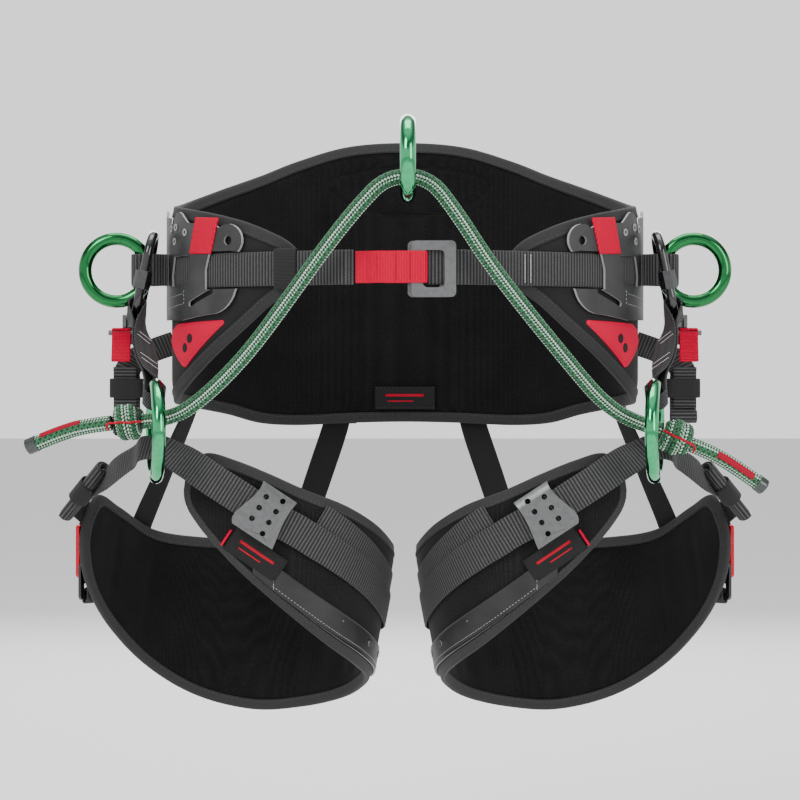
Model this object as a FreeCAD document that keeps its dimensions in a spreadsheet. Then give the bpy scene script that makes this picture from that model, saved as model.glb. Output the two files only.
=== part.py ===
import FreeCAD, Part
import math
import os
import Sketcher
from FreeCAD import Vector

# A tree climbing saddle: a padded back belt, two padded leg loops, a waist buckle,
# two side rings, two bridge rings and a rope bridge with a sliding ring.
# Millimetres. X runs to the viewer's right, Y to the back, Z up.
# The origin is the middle of the waist opening, level with the waist strap.
# "_l" is the side with negative X and "_r" the side with positive X.

os.makedirs("parts", exist_ok=True)
doc = FreeCAD.newDocument("climbing_saddle")

# ---------------------------------------------------------------- driving dimensions
DIMENSIONS = [
    ("belt_half_width", 200.0, "half width of the waist opening's oval"),
    ("belt_half_depth", 132.0, "half depth of the waist opening's oval"),
    ("pad_inside", -5.0, "lining of the back pad, from the oval"),
    ("pad_outside", 2.0, "outer face of the foam, from the oval"),
    ("shell_inside", 3.0, "inner face of the outer shell, from the oval"),
    ("shell_outside", 4.4, "outer face of the outer shell, from the oval"),
    ("plate_inside", 7.6, "inner face of a side plate, from the oval"),
    ("plate_outside", 9.6, "outer face of a side plate, from the oval"),
    ("plate_facing", 128.0, "direction that a side plate faces, degrees from the back"),
    ("web_width", 28.0, "width of the load-bearing webbing"),
    ("web_thick", 2.2, "thickness of the webbing"),
    ("side_ring_radius", 27.2, "side ring, centre line"),
    ("side_ring_bar", 5.75, "side ring, radius of the bar"),
    ("side_ring_x", 251.0, "side ring centre"),
    ("side_ring_y", -30.0, "side ring centre"),
    ("side_ring_z", 2.0, "side ring centre"),
    ("link_half_height", 36.5, "screw link, centre line"),
    ("link_half_width", 19.0, "screw link, centre line"),
    ("link_bar", 4.0, "screw link, radius of the bar"),
    ("link_x", 226.0, "screw link centre"),
    ("link_z", -3.5, "screw link centre"),
    ("link_tilt", 12.0, "lean of the screw link, degrees"),
    ("nut_flats", 13.0, "screw link nut across flats"),
    ("nut_length", 16.0, "screw link nut"),
    ("bridge_ring_radius", 38.75, "bridge ring, centre line"),
    ("bridge_ring_bar", 5.75, "bridge ring, radius of the bar"),
    ("bridge_ring_x", 210.0, "bridge ring centre"),
    ("bridge_ring_y", -110.0, "bridge ring centre"),
    ("bridge_ring_z", -137.0, "bridge ring centre"),
    ("bridge_ring_turn", 9.0, "bridge ring, turned out at the back, degrees"),
    ("slide_ring_radius", 29.75, "sliding ring on the bridge, centre line"),
    ("slide_ring_bar", 6.5, "sliding ring, radius of the bar"),
    ("slide_ring_x", 2.0, "sliding ring centre"),
    ("slide_ring_y", -173.0, "sliding ring centre"),
    ("slide_ring_z", 86.9, "sliding ring centre"),
    ("rope_diameter", 13.0, "bridge rope"),
    ("knot_radius", 15.5, "barrel knot, outside"),
    ("knot_length", 27.0, "barrel knot"),
    ("frame_width", 37.0, "waist buckle frame"),
    ("frame_height", 46.5, "waist buckle frame"),
    ("frame_thick", 3.5, "waist buckle frame"),
    ("window_width", 18.0, "waist buckle window"),
    ("window_height", 31.0, "waist buckle window"),
    ("buckle_x", 23.5, "waist buckle centre"),
    ("buckle_y", -155.8, "front face of the waist buckle's front frame"),
    ("buckle_z", -2.5, "waist buckle centre"),
    ("leg_thick", 9.0, "leg pad"),
    ("leg_plate_thick", 2.2, "leg plate"),
    ("leg_plate_bend", 13.0, "leg plate, radius of its bent upper edge"),
    ("leg_plate_hole", 2.3, "leg plate, radius of its holes"),
    ("rivet_radius", 3.0, "rivet on the leg strip, radius of the head"),
    ("hook_width", 30.0, "leg buckle hook"),
    ("hook_height", 47.0, "leg buckle hook"),
    ("hook_thick", 4.0, "leg buckle hook"),
    ("tab_width", 18.0, "hip tab"),
]

sheet = doc.addObject("Spreadsheet::Sheet", "Dimensions")
for row, (alias, value, note) in enumerate(DIMENSIONS, start=1):
    sheet.set("A%d" % row, alias)
    sheet.set("B%d" % row, str(value))
    sheet.set("C%d" % row, note)
    sheet.setAlias("B%d" % row, alias)
doc.recompute()


def dim(alias):
    return float(sheet.get(alias))


UP = Vector(0, 0, 1)
ACROSS = Vector(1, 0, 0)
BACK = Vector(0, 1, 0)
SIDES = (("l", -1), ("r", 1))
WEB = dim("web_thick")
GAP = 0.5
nodes = []


# ---------------------------------------------------------------- helpers
def keep(obj, name):
    """Name an object as one of the saddle's pieces."""
    obj.Label = name
    nodes.append(obj)
    return obj


def feature(name, shape, placement=FreeCAD.Placement()):
    """A piece whose shape is made by Part's own functions."""
    obj = doc.addObject("Part::Feature", name)
    obj.Shape = shape
    obj.Placement = placement
    return keep(obj, name)


def mirrored(shape):
    return shape.mirror(Vector(0, 0, 0), ACROSS)


def pair(name, shape_on_right):
    """The same piece on both sides of the saddle."""
    feature(name + "_r", shape_on_right)
    feature(name + "_l", mirrored(shape_on_right))


def bind(obj, **expressions):
    for prop, expression in expressions.items():
        obj.setExpression(prop.replace("__", "."), expression)


def unit(vector):
    result = Vector(*vector)
    result.normalize()
    return result


def blend(rows, place):
    """Catmull-Rom through rows of numbers, at a fractional row number."""
    last = len(rows) - 1
    index = min(int(place), last - 1)
    part = place - index
    around = [rows[min(max(index + step, 0), last)] for step in (-1, 0, 1, 2)]
    result = []
    for before, start, end, after in zip(*around):
        cubic = -before + 3 * start - 3 * end + after
        square = 2 * before - 5 * start + 4 * end - after
        slope = end - before
        result.append(start + 0.5 * part * (slope + part * (square + part * cubic)))
    return result


def steps(first, last, count):
    return [first + (last - first) * index / (count - 1) for index in range(count)]


def loft(sections):
    """A ruled solid through closed four-sided sections."""
    wires = [Part.makePolygon(corners + corners[:1]) for corners in sections]
    return Part.makeLoft(wires, True, True)


def ribbon(centres, wide, width, thick):
    """A strip of webbing: flat sections, each square to the strip's run."""
    sections = []
    last = len(centres) - 1
    for index, centre in enumerate(centres):
        run = unit(centres[min(index + 1, last)] - centres[max(index - 1, 0)])
        face = unit(run.cross(wide[index]))
        side = unit(face.cross(run)) * (width / 2)
        deep = face * (thick / 2)
        sections.append([centre - side - deep, centre + side - deep,
                         centre + side + deep, centre - side + deep])
    return loft(sections)


def web_loop(start, end, start_radius, end_radius, wide, width, thick, slack=0.9, count=9):
    """Webbing that goes round a bar at each end, its two layers close together between."""
    run = end - start
    along = unit(run)

    def spread(distance, radius):
        return (radius - slack) * max(0.0, 1 - distance / (3 * radius)) ** 1.2

    front, back, faces = [], [], []
    for part in steps(0.0, 1.0, count):
        side = unit(blend(wide, 2 * part))
        side = unit(side - along * side.dot(along))
        face = unit(along.cross(side))
        gap = slack + thick / 2 + spread(part * run.Length, start_radius)
        gap += spread((1 - part) * run.Length, end_radius)
        centre = start + run * part
        front.append(centre + face * gap)
        back.append(centre - face * gap)
        faces.append((side, face))

    def turn(centre, radius, side, face, outward, flip):
        points = []
        for angle in steps(0.0, 180.0, 9)[1:-1]:
            spot = math.radians(angle)
            offset = face * (flip * math.cos(spot)) + outward * math.sin(spot)
            points.append(centre + offset * (radius + thick / 2))
        return points, [side] * len(points)

    points = list(front)
    sides = [side for side, _ in faces]
    more, more_sides = turn(end, end_radius, *faces[-1], along, 1)
    points += more
    sides += more_sides
    points += back[::-1]
    sides += [side for side, _ in faces[::-1]]
    if start_radius > slack:
        more, more_sides = turn(start, start_radius, *faces[0], along * -1, -1)
        points += more
        sides += more_sides
    return ribbon(points, sides, width, thick)


# ---------------------------------------------------------------- the belt's oval
# Degrees from the middle of the back, height of the top edge, height of the bottom edge.
BELT_EDGES = [
    (0, 126, -130), (15, 122, -131), (29, 108, -133), (41, 93, -131), (53, 81, -123),
    (66, 70, -118), (79, 62, -115), (92, 58, -112), (104, 55, -104), (116, 51, -89),
    (127, 46, -70), (137, 39, -50), (145, 30, -31), (151, 20, -18), (155, 6, -4),
]
BELT_END = 155.0


def belt_edge(degrees):
    """Heights of the top and bottom edge at an angle from the middle of the back."""
    angle = abs(degrees)
    index = 0
    while index < len(BELT_EDGES) - 2 and BELT_EDGES[index + 1][0] < angle:
        index += 1
    start, end = BELT_EDGES[index][0], BELT_EDGES[index + 1][0]
    place = index + (angle - start) / (end - start)
    _, top, bottom = blend([(BELT_EDGES[1][0] * -1,) + BELT_EDGES[1][1:]] + BELT_EDGES, place + 1)
    return top, bottom


def belt_point(degrees, offset, height):
    """A point at a distance outside the belt's oval."""
    angle = math.radians(degrees)
    wide = dim("belt_half_width")
    deep = dim("belt_half_depth")
    normal = unit(Vector(math.sin(angle) / wide, math.cos(angle) / deep, 0))
    return Vector(wide * math.sin(angle), deep * math.cos(angle), height) + normal * offset


def belt_band(first, last, inside, outside, count, heights):
    """A band of the belt between two angles; heights gives its top and bottom."""
    sections = []
    for degrees in steps(first, last, count):
        top, bottom = heights(degrees)
        sections.append([
            belt_point(degrees, inside, bottom), belt_point(degrees, outside, bottom),
            belt_point(degrees, outside, top), belt_point(degrees, inside, top),
        ])
    return loft(sections)


def make_belt():
    pad = belt_band(-BELT_END, BELT_END, dim("pad_inside"), dim("pad_outside"), 63, belt_edge)
    feature("back_pad", pad)

    def shell_edge(degrees):
        top, bottom = belt_edge(degrees)
        return top - 1.5, bottom + 1.5

    shell = belt_band(-BELT_END, BELT_END, dim("shell_inside"), dim("shell_outside"), 63,
                      shell_edge)
    feature("belt_shell", shell)

    def stiffener_edge(degrees):
        top, bottom = belt_edge(degrees)
        return top - 22, bottom + 22

    sheet_thick = dim("shell_inside") - dim("pad_outside")
    stiffener = belt_band(-60, 60, dim("pad_outside") + 0.1,
                          dim("pad_outside") + sheet_thick - 0.1, 25, stiffener_edge)
    feature("back_stiffener", stiffener)
    label = belt_band(-8.2, 8.2, dim("pad_inside") - 1.3, dim("pad_inside") - 0.3, 7,
                      lambda degrees: (-98, -120))
    feature("belt_label", label)


# ---------------------------------------------------------------- side plates and trim
PLATE_ZERO = Vector(206, 0, 0)


def plate_axes():
    facing = math.radians(dim("plate_facing"))
    out = Vector(math.sin(facing), math.cos(facing), 0)
    return out, Vector(out.y, -out.x, 0)


def plate_point(along, height, depth=0.0):
    """A point of a side plate's flat outline: along the belt to the front, and height."""
    out, forward = plate_axes()
    base = PLATE_ZERO - out * PLATE_ZERO.dot(out)
    return base + forward * along + UP * height + out * (PLATE_ZERO.dot(out) + depth)


def wrapped(outline, inside, outside, holes=()):
    """A flat outline laid round the belt, as a curved piece between two offsets."""
    out, _ = plate_axes()

    def face(points):
        corners = [plate_point(along, height, -160) for along, height in points]
        return Part.Face(Part.makePolygon(corners + corners[:1]))

    prism = face(outline).extrude(out * 320)
    for hole in holes:
        prism = prism.cut(face(hole).extrude(out * 320))
    band = belt_band(76, 152, inside, outside, 39, lambda degrees: (150, -150))
    return band.common(prism)


def circle_points(along, height, radius, count=16):
    turns = [2 * math.pi * index / count for index in range(count)]
    return [(along + radius * math.cos(t), height + radius * math.sin(t)) for t in turns]


def arc_points(along, height, radius, first, last, count):
    spots = [math.radians(degrees) for degrees in steps(first, last, count)]
    return [(along + radius * math.cos(t), height + radius * math.sin(t)) for t in spots]


LOBE = (112, 24)
PLATE_OUTLINE = (
    [(-3, 55), (12, 49), (27, 47)]
    + arc_points(31, 43, 5, 150, 330, 7)
    + arc_points(47, 40, 11, 160, 40, 7)
    + [(63, 41), (98, 38)]
    + arc_points(*LOBE, 14, 130, -45, 12)
    + [(112, 15.5), (92, 15.5), (87, 0), (87, -17), (120, -17)]
    + arc_points(94, -12, 26, -15, -80, 7)
    + [(84, -39), (53, -42.5), (-3, -41)]
)
PLATE_WINDOW = [(38, 13), (66, 13), (62, -12), (34, -13), (32, -4)]
PLATE_SLOT = (
    arc_points(94, -18.5, 2.6, 110, -70, 6)
    + arc_points(67, -28.5, 2.6, -70, -250, 6)
)
EYELETS = [(31, 37), (42, 38), (59, 33), (39, 26)]
GEAR_HOLE_RADIUS = 4.0
PATCH_OUTLINE = [(11, -60), (21, -50), (37, -45), (103, -43), (104, -46), (53, -83), (47, -82)]
LOOP_TAB_OUTLINE = [(76, 44), (103, 42.5), (95, 13.5), (68, 14.5)]


def lobe_hole():
    """Middle of the gear hole in the plate's lobe, and the direction square to the plate."""
    _, forward = plate_axes()
    offset = (dim("plate_inside") + dim("plate_outside")) / 2
    target = plate_point(*LOBE).dot(forward)
    low, high = 90.0, 154.0
    for _ in range(30):
        degrees = (low + high) / 2
        if belt_point(degrees, offset, 0).dot(forward) < target:
            low = degrees
        else:
            high = degrees
    middle = belt_point(degrees, offset, LOBE[1])
    outward = unit(belt_point(degrees, offset + 1, LOBE[1]) - middle)
    print("gear hole at %.1f %.1f %.1f, facing %.3f %.3f %.3f" % (*middle, *outward))
    return middle, outward


def make_side_plates():
    holes = [PLATE_WINDOW, PLATE_SLOT]
    holes += [circle_points(along, height, 1.9) for along, height in EYELETS]
    plate = wrapped(PLATE_OUTLINE, dim("plate_inside"), dim("plate_outside"), holes)
    middle, outward = lobe_hole()
    plate = plate.cut(Part.makeCylinder(GEAR_HOLE_RADIUS, 16, middle - outward * 8, outward))
    pair("side_plate", plate)

    patch = wrapped(PATCH_OUTLINE, dim("shell_outside") + 0.2, dim("shell_outside") + 1.4)
    feature("plate_patches", Part.makeCompound([patch, mirrored(patch)]))

    tab = wrapped(LOOP_TAB_OUTLINE, dim("plate_outside") + 0.2, dim("plate_outside") + 1.9)
    feature("loop_tabs", Part.makeCompound([tab, mirrored(tab)]))

    rings = []
    for along, height in EYELETS:
        outer = circle_points(along, height, 3.2)
        inner = circle_points(along, height, 1.7)
        eyelet = wrapped(outer, dim("plate_outside") + 0.05, dim("plate_outside") + 0.8, [inner])
        rings += [eyelet, mirrored(eyelet)]
    feature("plate_eyelets", Part.makeCompound(rings))


# ---------------------------------------------------------------- waist strap and buckle
STRAP_OFF = 143.0
STRAP_LEVEL = -1.0


def strap_run():
    """Points of the waist strap on the right, from under the side plate to the front."""
    points = []
    for degrees in steps(98, STRAP_OFF, 12):
        lift = 5.8 + 2.6 * max(0.0, (degrees - 126) / (STRAP_OFF - 126)) ** 1.2
        points.append(belt_point(degrees, lift, STRAP_LEVEL))
    angle = math.radians(STRAP_OFF)
    along = unit(Vector(dim("belt_half_width") * math.cos(angle),
                        -dim("belt_half_depth") * math.sin(angle), 0))
    start = points[-1]
    return points, [start + along * (78.0 * part) for part in (0.5, 1.0)]


def make_waist_strap():
    curve, straight = strap_run()
    run = curve + straight
    turn = run[-1]
    height = dim("web_width") + 1.5
    left = run + [Vector(47, turn.y - 0.3, STRAP_LEVEL), Vector(42.8, turn.y - 0.4, STRAP_LEVEL)]
    left_strap = ribbon(left, [UP] * len(left), height, WEB)
    feature("waist_strap_l", mirrored(left_strap))
    behind = dim("buckle_y") + dim("frame_thick") + GAP + WEB / 2
    right = run + [Vector(45, (turn.y + behind) / 2 - 1.2, STRAP_LEVEL),
                   Vector(38, behind, STRAP_LEVEL), Vector(18.8, behind, STRAP_LEVEL)]
    feature("waist_strap_r", ribbon(right, [UP] * len(right), height, WEB))
    return straight


def make_frame(name, centre_x, front_y):
    """One of the waist buckle's two flat frames: a rounded plate with a window."""
    body = doc.addObject("PartDesign::Body", name)
    plane = [item for item in body.Origin.OriginFeatures if item.Role == "XZ_Plane"][0]
    sketch = body.newObject("Sketcher::SketchObject", name + "_outline")
    sketch.AttachmentSupport = (plane, [""])
    sketch.MapMode = "FlatFace"
    for wide, high in (("frame_width", "frame_height"), ("window_width", "window_height")):
        add_rectangle(sketch, wide, high)
    pad = body.newObject("PartDesign::Pad", name + "_pad")
    pad.Profile = sketch
    pad.setExpression("Length", "Dimensions.frame_thick")
    doc.recompute()
    fillet = body.newObject("PartDesign::Fillet", name + "_corners")
    fillet.Base = (pad, upright_edges(pad.Shape, BACK))
    fillet.Radius = 4.0
    doc.recompute()
    body.Placement = FreeCAD.Placement(Vector(centre_x, front_y, dim("buckle_z")),
                                       FreeCAD.Rotation())
    body.setExpression("Placement.Base.z", "Dimensions.buckle_z")
    shift = doc.getObject(body.Name).Shape.BoundBox.YMin - front_y
    body.Placement.Base.y = front_y - shift
    return keep(body, name)


def add_rectangle(sketch, wide, high):
    """A rectangle centred on the sketch's origin, its two sizes bound to the sheet."""
    half_wide = dim(wide) / 2
    half_high = dim(high) / 2
    corners = [Vector(-half_wide, -half_high, 0), Vector(half_wide, -half_high, 0),
               Vector(half_wide, half_high, 0), Vector(-half_wide, half_high, 0)]
    first = sketch.GeometryCount
    for index in range(4):
        sketch.addGeometry(Part.LineSegment(corners[index], corners[(index + 1) % 4]), False)
    for index in range(4):
        sketch.addConstraint(Sketcher.Constraint(
            "Coincident", first + index, 2, first + (index + 1) % 4, 1))
    for index in (0, 2):
        sketch.addConstraint(Sketcher.Constraint("Horizontal", first + index))
    for index in (1, 3):
        sketch.addConstraint(Sketcher.Constraint("Vertical", first + index))
    sketch.addConstraint(Sketcher.Constraint("Symmetric", first, 1, first + 1, 2, -1, 1))
    wide_row = sketch.addConstraint(Sketcher.Constraint("DistanceX", first, 1, first, 2,
                                                        2 * half_wide))
    high_row = sketch.addConstraint(Sketcher.Constraint("DistanceY", first + 1, 1, first + 1, 2,
                                                        2 * half_high))
    sketch.setExpression("Constraints[%d]" % wide_row, "Dimensions." + wide)
    sketch.setExpression("Constraints[%d]" % high_row, "Dimensions." + high)


def upright_edges(shape, direction):
    """Names of the straight edges that run along a direction."""
    names = []
    for index, edge in enumerate(shape.Edges, start=1):
        if edge.Curve.TypeId != "Part::GeomLine":
            continue
        if abs(abs(unit(edge.tangentAt(edge.FirstParameter)).dot(direction)) - 1) < 1e-6:
            names.append("Edge%d" % index)
    return names


def make_waist_buckle():
    """The front frame hangs in a red webbing loop; the rear frame is on the right strap."""
    thick = dim("frame_thick")
    front = dim("buckle_y")
    make_frame("buckle_front_frame", dim("buckle_x"), front)
    make_frame("buckle_rear_frame", dim("buckle_x") - 3, front + thick + GAP + WEB + GAP)
    bar_x = dim("buckle_x") - dim("window_width") / 2
    middle = front + thick / 2
    far = thick / 2 + GAP + WEB / 2
    layers = [Vector(-41, -148.6, STRAP_LEVEL), Vector(-33, -150.6, STRAP_LEVEL),
              Vector(-22, middle - 2.4, STRAP_LEVEL), Vector(-6, middle - far, STRAP_LEVEL),
              Vector(bar_x, middle - far, STRAP_LEVEL)]
    for degrees in (-60, -30, 0, 30, 60):
        angle = math.radians(degrees)
        layers.append(Vector(bar_x + 0.9 * far * math.cos(angle),
                             middle + far * math.sin(angle), STRAP_LEVEL))
    layers += [Vector(bar_x, middle + far, STRAP_LEVEL), Vector(-4, middle + far, STRAP_LEVEL),
               Vector(-17, middle + 1.9, STRAP_LEVEL)]
    web = ribbon(layers, [UP] * len(layers), dim("web_width") - 1, WEB)
    feature("adjust_web", web)


def make_waist_keeper(straight):
    """An elastic band round the left half of the waist strap."""
    end, start = straight
    along = unit(start - end)
    out = Vector(along.y, -along.x, 0)
    middle = end - along * 12
    half_deep = WEB / 2 + GAP
    half_high = (dim("web_width") + 1.5) / 2 + GAP
    half_long = 10.5

    def block(grow):
        corners = []
        for low, wide in ((-1, -1), (1, -1), (1, 1), (-1, 1)):
            corners.append(middle - along * half_long
                           + out * (low * (half_deep + grow)) + UP * (wide * (half_high + grow)))
        return Part.Face(Part.makePolygon(corners + corners[:1])).extrude(along * 2 * half_long)

    band = block(1.2).cut(block(0))
    feature("waist_keeper", mirrored(band))


# ---------------------------------------------------------------- side rings
def make_torus(name, radius, bar, centre, rotation):
    ring = doc.addObject("Part::Torus", name)
    bind(ring, Radius1="Dimensions." + radius, Radius2="Dimensions." + bar)
    ring.Placement = FreeCAD.Placement(centre, rotation)
    return keep(ring, name)


def link_frame(sign):
    """Centre and up direction of a screw link: it leans out at its lower end."""
    tilt = math.radians(dim("link_tilt"))
    centre = Vector(sign * dim("link_x"), dim("side_ring_y"), dim("link_z"))
    upward = Vector(-sign * math.sin(tilt), 0, math.cos(tilt))
    return centre, upward


def make_links():
    high = dim("link_half_height")
    wide = dim("link_half_width")
    bar = dim("link_bar")
    centre, upward = link_frame(1)
    straight = high - wide

    def spot(across, up):
        return centre + BACK * across + upward * up

    edges = [
        Part.LineSegment(spot(wide, -straight), spot(wide, straight)).toShape(),
        Part.Arc(spot(wide, straight), spot(0, high), spot(-wide, straight)).toShape(),
        Part.LineSegment(spot(-wide, straight), spot(-wide, -straight)).toShape(),
        Part.Arc(spot(-wide, -straight), spot(0, -high), spot(wide, -straight)).toShape(),
    ]
    path = Part.Wire(edges)
    circle = Part.Wire(Part.Circle(spot(wide, -straight), upward, bar).toShape())
    link = path.makePipeShell([circle], True, True)
    pair("screw_link", link)


def make_nuts():
    """Hexagonal sleeves on the front bar of each screw link."""
    for side, sign in SIDES:
        centre, upward = link_frame(sign)
        base = centre - BACK * dim("link_half_width") + upward * (-4 - dim("nut_length") / 2)
        turn = FreeCAD.Rotation(UP, upward)
        hexagon = doc.addObject("Part::Prism", "nut_blank_" + side)
        hexagon.Polygon = 6
        bind(hexagon, Circumradius="Dimensions.nut_flats / sqrt(3)",
             Height="Dimensions.nut_length")
        hexagon.Placement = FreeCAD.Placement(base, turn)
        bore = doc.addObject("Part::Cylinder", "nut_bore_" + side)
        bind(bore, Radius="Dimensions.link_bar + 0.3", Height="Dimensions.nut_length + 4")
        bore.Placement = FreeCAD.Placement(base - upward * 2, turn)
        nut = doc.addObject("Part::Cut", "link_nut_" + side)
        nut.Base = hexagon
        nut.Tool = bore
        keep(nut, "link_nut_" + side)


def make_side_rings():
    flat = FreeCAD.Rotation(ACROSS, 90)
    for side, sign in SIDES:
        centre = Vector(sign * dim("side_ring_x"), dim("side_ring_y"), dim("side_ring_z"))
        make_torus("side_ring_" + side, "side_ring_radius", "side_ring_bar", centre, flat)


def sling_axis():
    """The upright line inside the sling that a side ring swings about, on the right."""
    return Vector(dim("side_ring_x") - dim("side_ring_radius"), dim("side_ring_y"), 0)


def make_slings():
    """A webbing loop from the belt's side, round the inner bar of the side ring."""
    eye = sling_axis()
    root_x = 206.3
    inner = dim("side_ring_bar") + 3.0 + WEB / 2
    neck = 2.0 + WEB / 2
    points = [Vector(root_x, eye.y - neck, 2), Vector(root_x + 4, eye.y - neck - 0.5, 2)]
    for degrees in steps(-125, 125, 15):
        angle = math.radians(degrees)
        reach = 1.35 if abs(degrees) < 90 else 1.0
        bulge = max(-1.0, min(1.0, 1.25 * math.sin(angle)))
        points.append(Vector(eye.x + inner * reach * math.cos(angle),
                             eye.y + inner * bulge, 2))
    points += [Vector(root_x + 4, eye.y + neck + 0.5, 2), Vector(root_x, eye.y + neck, 2)]
    pair("ring_sling", ribbon(points, [UP] * len(points), dim("web_width"), WEB))


def make_side_straps():
    """Webbing from the lower end of each screw link to the top of its bridge ring."""
    centre, upward = link_frame(1)
    bend = dim("link_half_width")
    bend_centre = centre - upward * (dim("link_half_height") - bend)
    link_rise = 2.3
    ring_rise = 1.1
    pull = Vector(0, bend_centre.y - dim("bridge_ring_y"), bend_centre.z - dim("bridge_ring_z"))
    pull = unit(pull)
    top = bend_centre - (BACK * pull.y + upward * pull.z) * (bend - link_rise)
    turn = math.radians(dim("bridge_ring_turn"))
    level = Vector(math.sin(turn), math.cos(turn), 0)
    low = Vector(dim("bridge_ring_x"), dim("bridge_ring_y"), dim("bridge_ring_z"))
    low = low + (level * pull.y + UP * pull.z) * (dim("bridge_ring_radius") - ring_rise)
    link_tangent = BACK * pull.z - upward * pull.y
    ring_tangent = level * pull.z - UP * pull.y
    wide = [tuple(link_tangent), (-0.75, 0.5, -0.35), tuple(ring_tangent)]
    strap = web_loop(top, low, dim("link_bar") + link_rise + GAP,
                     dim("bridge_ring_bar") + ring_rise + 2 * GAP, wide,
                     dim("web_width") - 5, WEB - 0.4, slack=0.5, count=13)
    pair("side_strap", strap)


# ---------------------------------------------------------------- bridge
def make_bridge_rings():
    for side, sign in SIDES:
        centre = Vector(sign * dim("bridge_ring_x"), dim("bridge_ring_y"), dim("bridge_ring_z"))
        axis = bridge_ring_axis(sign)
        make_torus("bridge_ring_" + side, "bridge_ring_radius", "bridge_ring_bar", centre,
                   FreeCAD.Rotation(UP, axis))


def bridge_ring_axis(sign):
    turn = math.radians(dim("bridge_ring_turn"))
    return Vector(math.cos(turn), -sign * math.sin(turn), 0)


def make_slide_ring():
    centre = Vector(dim("slide_ring_x"), dim("slide_ring_y"), dim("slide_ring_z"))
    make_torus("slide_ring", "slide_ring_radius", "slide_ring_bar", centre,
               FreeCAD.Rotation(BACK, 90))


BRIDGE_ROUTE = [
    (-220.5, -110, -129), (-196, -113, -127), (-168, -125, -109), (-131, -142, -73),
    (-94, -157, -24), (-64, -167, 17), (-38, -172, 49), (-15, -173.5, 72.3),
    (19, -173.5, 72.3), (42, -172, 43), (68, -166, 3), (98, -156, -35),
    (135, -140, -79), (164, -124, -112), (190, -114, -129), (215.5, -110, -136),
]
TAIL_ROUTES = {
    "l": [(-247.5, -109, -130.5), (-268, -104, -132.5), (-294, -97, -140), (-320, -92, -151)],
    "r": [(239.9, -108.5, -148.4), (254, -105, -153.5), (278, -100, -166.5), (304, -96, -185)],
}


def rope_tube(name, route):
    """A rope along straight runs joined by tangent arcs."""
    points = [Vector(*point) for point in route]
    radius = dim("rope_diameter") / 2
    edges = []
    start = points[0]
    for before, corner, after in zip(points, points[1:], points[2:]):
        into = unit(corner - before)
        away = unit(after - corner)
        turn = math.acos(max(-1.0, min(1.0, into.dot(away))))
        reach = 0.45 * min((corner - before).Length, (after - corner).Length)
        bend = reach / math.tan(turn / 2)
        print("%s: radius %.0f mm at a turn of %.0f degrees"
              % (name, bend, math.degrees(turn)))
        enter = corner - into * reach
        leave = corner + away * reach
        inward = unit(away - into)
        middle = corner + inward * (bend / math.cos(turn / 2) - bend)
        edges.append(Part.LineSegment(start, enter).toShape())
        edges.append(Part.Arc(enter, middle, leave).toShape())
        start = leave
    edges.append(Part.LineSegment(start, points[-1]).toShape())
    path = Part.Wire(edges)
    circle = Part.Wire(Part.Circle(points[0], points[1] - points[0], radius).toShape())
    tube = path.makePipeShell([circle], True, False)
    expected = path.Length * math.pi * radius ** 2
    print("%s: length %.0f mm, volume / expected %.4f" % (name, path.Length,
                                                          tube.Volume / expected))
    return tube


def make_knot(start, end):
    """A barrel knot: three turns of rope, side by side round a core."""
    run = end - start
    along = unit(run)
    length = run.Length
    wrap = length / 6.0 + 0.35
    outer = dim("knot_radius") - wrap
    knot = Part.makeCylinder(outer, length, start, along)
    for index in range(3):
        centre = start + along * (length * (index + 0.5) / 3)
        knot = knot.fuse(Part.makeTorus(outer, wrap, centre, along))
    slab = Part.makeCylinder(dim("knot_radius") + 5, length, start, along)
    return knot.common(slab)


def make_bridge():
    feature("bridge_rope", rope_tube("bridge_rope", BRIDGE_ROUTE))
    starts = {"l": Vector(*BRIDGE_ROUTE[0]), "r": Vector(*BRIDGE_ROUTE[-1])}
    for side, _ in SIDES:
        tail = TAIL_ROUTES[side]
        feature("rope_tail_" + side, rope_tube("rope_tail_" + side, tail))
        feature("rope_knot_" + side, make_knot(starts[side], Vector(*tail[0])))


# ---------------------------------------------------------------- leg loops
# The right leg pad, from the tip of its front flap round the inside of the thigh and
# the back to its outer end: top edge x, y, z and bottom edge x, y, z.
LEG_STATIONS = [
    (184, -86, -166, 188, -84, -197),
    (167, -96, -157, 170, -95, -222),
    (143, -104, -163, 144, -104, -250),
    (115, -109, -174, 116, -109, -275),
    (84, -107, -188, 90, -107, -297),
    (52, -94, -201, 64, -93, -319),
    (28, -66, -217, 44, -66, -336),
    (14, -26, -234, 34, -28, -350),
    (14, 18, -242, 37, 14, -362),
    (37, 58, -243, 56, 50, -377),
    (84, 86, -241, 94, 76, -388),
    (138, 97, -239, 139, 84, -391),
    (190, 94, -237, 190, 82, -378),
    (229, 76, -229, 233, 66, -350),
    (256, 44, -208, 264, 38, -312),
    (272, 16, -196, 280, 12, -275),
    (281, -3, -214, 286, -4, -240),
]


def leg_middle(place, drop):
    row = blend(LEG_STATIONS, place)
    return Vector(*row[:3]) * (1 - drop) + Vector(*row[3:]) * drop


def leg_point(place, drop, offset):
    """A point near a leg pad: place along its stations, drop from its top edge (0 to 1)."""
    last = len(LEG_STATIONS) - 1
    down = leg_middle(place, 1.0) - leg_middle(place, 0.0)
    run = leg_middle(min(place + 0.2, last), 0.5) - leg_middle(max(place - 0.2, 0), 0.5)
    return leg_middle(place, drop) + unit(run.cross(down)) * offset


def leg_band(first, last, count, high, low, inside, outside):
    """A band on a leg pad; high and low give its edges as drops along its way."""
    sections = []
    for part in steps(0.0, 1.0, count):
        place = first + (last - first) * part
        top = high(part)
        bottom = low(part)
        sections.append([
            leg_point(place, bottom, inside), leg_point(place, bottom, outside),
            leg_point(place, top, outside), leg_point(place, top, inside),
        ])
    return loft(sections)


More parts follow.
